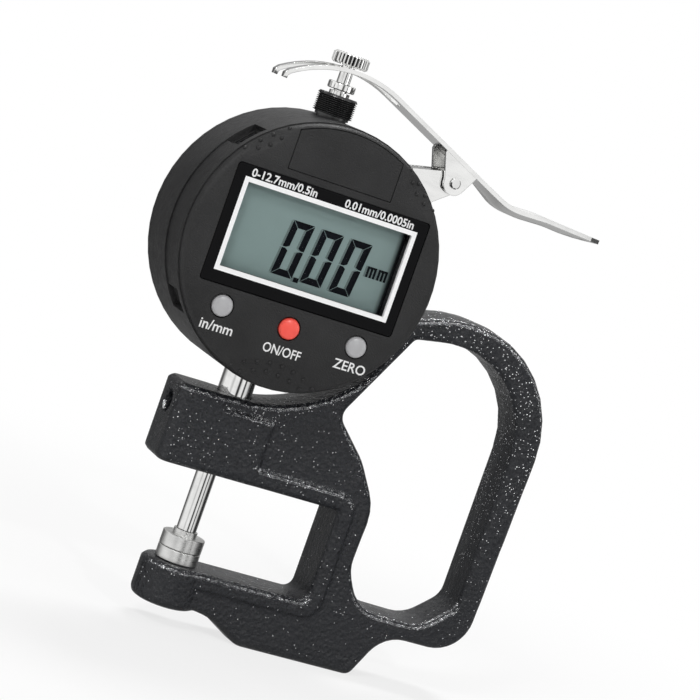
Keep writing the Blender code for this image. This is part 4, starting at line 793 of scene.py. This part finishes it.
def add_floor():
    """Pale floor that turns to the white of the backdrop away from the object."""
    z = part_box("frame")[0].z - FLOOR_GAP
    corners = ((-1, -1), (1, -1), (1, 1), (-1, 1))
    bm = bmesh.new()
    bm.faces.new([bm.verts.new((x * FLOOR_HALF, y * FLOOR_HALF, z)) for x, y in corners])
    mesh = bpy.data.meshes.new("floor")
    bm.to_mesh(mesh)
    bm.free()
    floor = bpy.data.objects.new("floor", mesh)
    bpy.context.scene.collection.objects.link(floor)
    made = bpy.data.materials.new("pale_floor")
    made.use_nodes = True
    tree = made.node_tree
    tree.nodes.clear()
    link = tree.links.new
    out = tree.nodes.new("ShaderNodeOutputMaterial")
    paper = tree.nodes.new("ShaderNodeBsdfDiffuse")
    paper.inputs["Color"].default_value = (FLOOR_GREY, FLOOR_GREY, FLOOR_GREY, 1.0)
    glow = tree.nodes.new("ShaderNodeEmission")
    place = tree.nodes.new("ShaderNodeTexCoord")
    reach = tree.nodes.new("ShaderNodeVectorMath")
    reach.operation = "LENGTH"
    link(place.outputs["Object"], reach.inputs[0])
    fade = tree.nodes.new("ShaderNodeMapRange")
    fade.interpolation_type = "SMOOTHSTEP"
    for key, value in (("From Min", SHADOW_REACH[0]), ("From Max", SHADOW_REACH[1]),
                       ("To Min", 1.0 - SHADOW_DEPTH), ("To Max", 1.0)):
        fade.inputs[key].default_value = value
    link(reach.outputs["Value"], fade.inputs["Value"])
    path = tree.nodes.new("ShaderNodeLightPath")
    either = tree.nodes.new("ShaderNodeMath")
    either.operation = "MAXIMUM"
    share = tree.nodes.new("ShaderNodeMath")
    share.operation = "MULTIPLY"
    mix = tree.nodes.new("ShaderNodeMixShader")
    link(path.outputs["Is Camera Ray"], either.inputs[0])
    link(path.outputs["Is Glossy Ray"], either.inputs[1])
    link(either.outputs[0], share.inputs[0])
    link(fade.outputs["Result"], share.inputs[1])
    link(share.outputs[0], mix.inputs["Fac"])
    link(paper.outputs[0], mix.inputs[1])
    link(glow.outputs[0], mix.inputs[2])
    link(mix.outputs[0], out.inputs["Surface"])
    mesh.materials.append(made)
    floor.visible_glossy = False    # upright metal mirrors the room beyond it


def add_camera():
    """The photograph's camera, rolled about its own axis."""
    azimuth, elevation, roll = (math.radians(a) for a in (VIEW_AZIMUTH, VIEW_ELEVATION, VIEW_ROLL))
    back = Vector((-math.sin(azimuth) * math.cos(elevation), -math.cos(azimuth) * math.cos(elevation),
                   math.sin(elevation)))
    right = (-back).cross(Vector((0.0, 0.0, 1.0))).normalized()
    up = right.cross(-back)
    across = right * math.cos(roll) + up * math.sin(roll)
    upward = up * math.cos(roll) - right * math.sin(roll)
    turn = Matrix((across, upward, back)).transposed().to_4x4()
    data = bpy.data.cameras.new("camera")
    data.lens = LENS
    data.sensor_width = SENSOR
    data.clip_start = CLIP_NEAR
    data.clip_end = CLIP_FAR
    made = bpy.data.objects.new("camera", data)
    made.matrix_world = Matrix.Translation(VIEW_TARGET + back * VIEW_DISTANCE) @ turn
    bpy.context.scene.collection.objects.link(made)
    bpy.context.scene.camera = made


# Dressing of the CAD nodes

def smooth_by_angle():
    """Node group that shades a mesh smooth except across its sharp edges."""
    tree = bpy.data.node_groups.new("smooth_by_angle", "GeometryNodeTree")
    tree.interface.new_socket("Geometry", in_out="INPUT", socket_type="NodeSocketGeometry")
    tree.interface.new_socket("Geometry", in_out="OUTPUT", socket_type="NodeSocketGeometry")
    add = tree.nodes.new
    link = tree.links.new
    given = add("NodeGroupInput")
    merge = add("GeometryNodeMergeByDistance")
    merge.inputs["Distance"].default_value = SAME_POINT
    faces = add("GeometryNodeSetShadeSmooth")
    angle = add("GeometryNodeInputMeshEdgeAngle")
    sharp = add("ShaderNodeMath")
    sharp.operation = "GREATER_THAN"
    sharp.inputs[1].default_value = math.radians(SHARP_ANGLE)
    edges = add("GeometryNodeSetShadeSmooth")
    edges.domain = "EDGE"
    edges.inputs["Shade Smooth"].default_value = False
    result = add("NodeGroupOutput")
    link(given.outputs[0], merge.inputs["Geometry"])
    link(merge.outputs["Geometry"], faces.inputs[0])
    link(faces.outputs[0], edges.inputs[0])
    link(angle.outputs["Unsigned Angle"], sharp.inputs[0])
    link(sharp.outputs[0], edges.inputs["Selection"])
    link(edges.outputs[0], result.inputs[0])
    return tree


def dress(materials):
    """Give every CAD node the material of its slot and smooth shading, and the casting its soft edges."""
    slots = {row["node"]: row["material_slot"] for row in frame["record"]["subparts"]}
    slots["upper_bush"] = "ground_steel"    # the photograph shows steel there
    for name in ("contact_point", "anvil"):
        slots[name] = "turned_face"
    smooth = smooth_by_angle()
    for name, node in NODES.items():
        node.data.materials.clear()
        node.data.materials.append(materials[slots[name]])
        if name != "frame":
            node.modifiers.new("smooth_shading", "NODES").node_group = smooth
    remesh = NODES["frame"].modifiers.new("even_skin", "REMESH")
    remesh.mode = "VOXEL"
    remesh.voxel_size = CAST_VOXEL
    remesh.use_smooth_shade = True
    soften = NODES["frame"].modifiers.new("cast_edges", "SMOOTH")
    soften.factor = CAST_SOFTNESS
    soften.iterations = CAST_SMOOTHING


# The whole scene

def make_materials():
    """Materials by the names of the record's slots, and turned_face for the flat contacts."""
    return {
        "hammered_black_paint": hammered_paint(),
        "dark_grey_plastic": moulded_plastic("case_plastic", (0.018, 0.018, 0.0185), (0.026, 0.026, 0.0265)),
        "black_plastic": moulded_plastic("inner_plastic", (0.008, 0.008, 0.009), (0.014, 0.014, 0.015)),
        "printed_window": printed_window(),
        "lcd_glass": lcd_glass(),
        "grey_button_plastic": button_plastic("grey_key", (0.40, 0.40, 0.41), (0.46, 0.46, 0.47)),
        "red_button_plastic": button_plastic("red_key", (0.95, 0.08, 0.055), (1.0, 0.11, 0.08)),
        "key_rubber": rubber(),
        "board_laminate": circuit_laminate(),
        "ground_steel": turned_steel("ground_steel", (0.86, 0.86, 0.85), 0.06),
        "turned_face": turned_steel("turned_face", (0.72, 0.72, 0.71), 0.30),
        "nickel_plate": rolled_plate("nickel_plate", (0.90, 0.90, 0.89), 0.12),
        "spring_steel": turned_steel("spring_steel", (0.5, 0.5, 0.5), 0.3, (1.0, 1.0, 1.0)),
        "bush_brass": turned_steel("bush_brass", (0.72, 0.50, 0.20), 0.28),
        "blackened_steel": oxide_black(),
        "screw_steel": turned_steel("screw_steel", (0.4, 0.4, 0.41), 0.3),
    }


def main():
    materials = make_materials()
    dress(materials)
    add_display_digits("display_digits", lcd_ink(), LCD_LOW.y - PRINT_T)
    add_display_digits("display_shadow", lcd_shadow(), LCD_LOW.y - SHADOW_LIFT, -SEGMENT_SHADOW)
    add_grip_bumps(materials["dark_grey_plastic"])
    add_collar_thread(materials["blackened_steel"])
    add_knurled_cap()
    add_return_coil(materials["spring_steel"])
    ink = label_ink()
    add_labels(KEY_LABELS, FACE_Y, ink, KEY_BOLD)
    add_labels(RANGE_LABELS, WINDOW_Y, ink, RANGE_BOLD)
    add_floor()
    add_world()
    add_camera()
    for lamp in LAMPS:
        add_light(*lamp)
    bpy.context.scene.view_settings.view_transform = "Standard"


main()
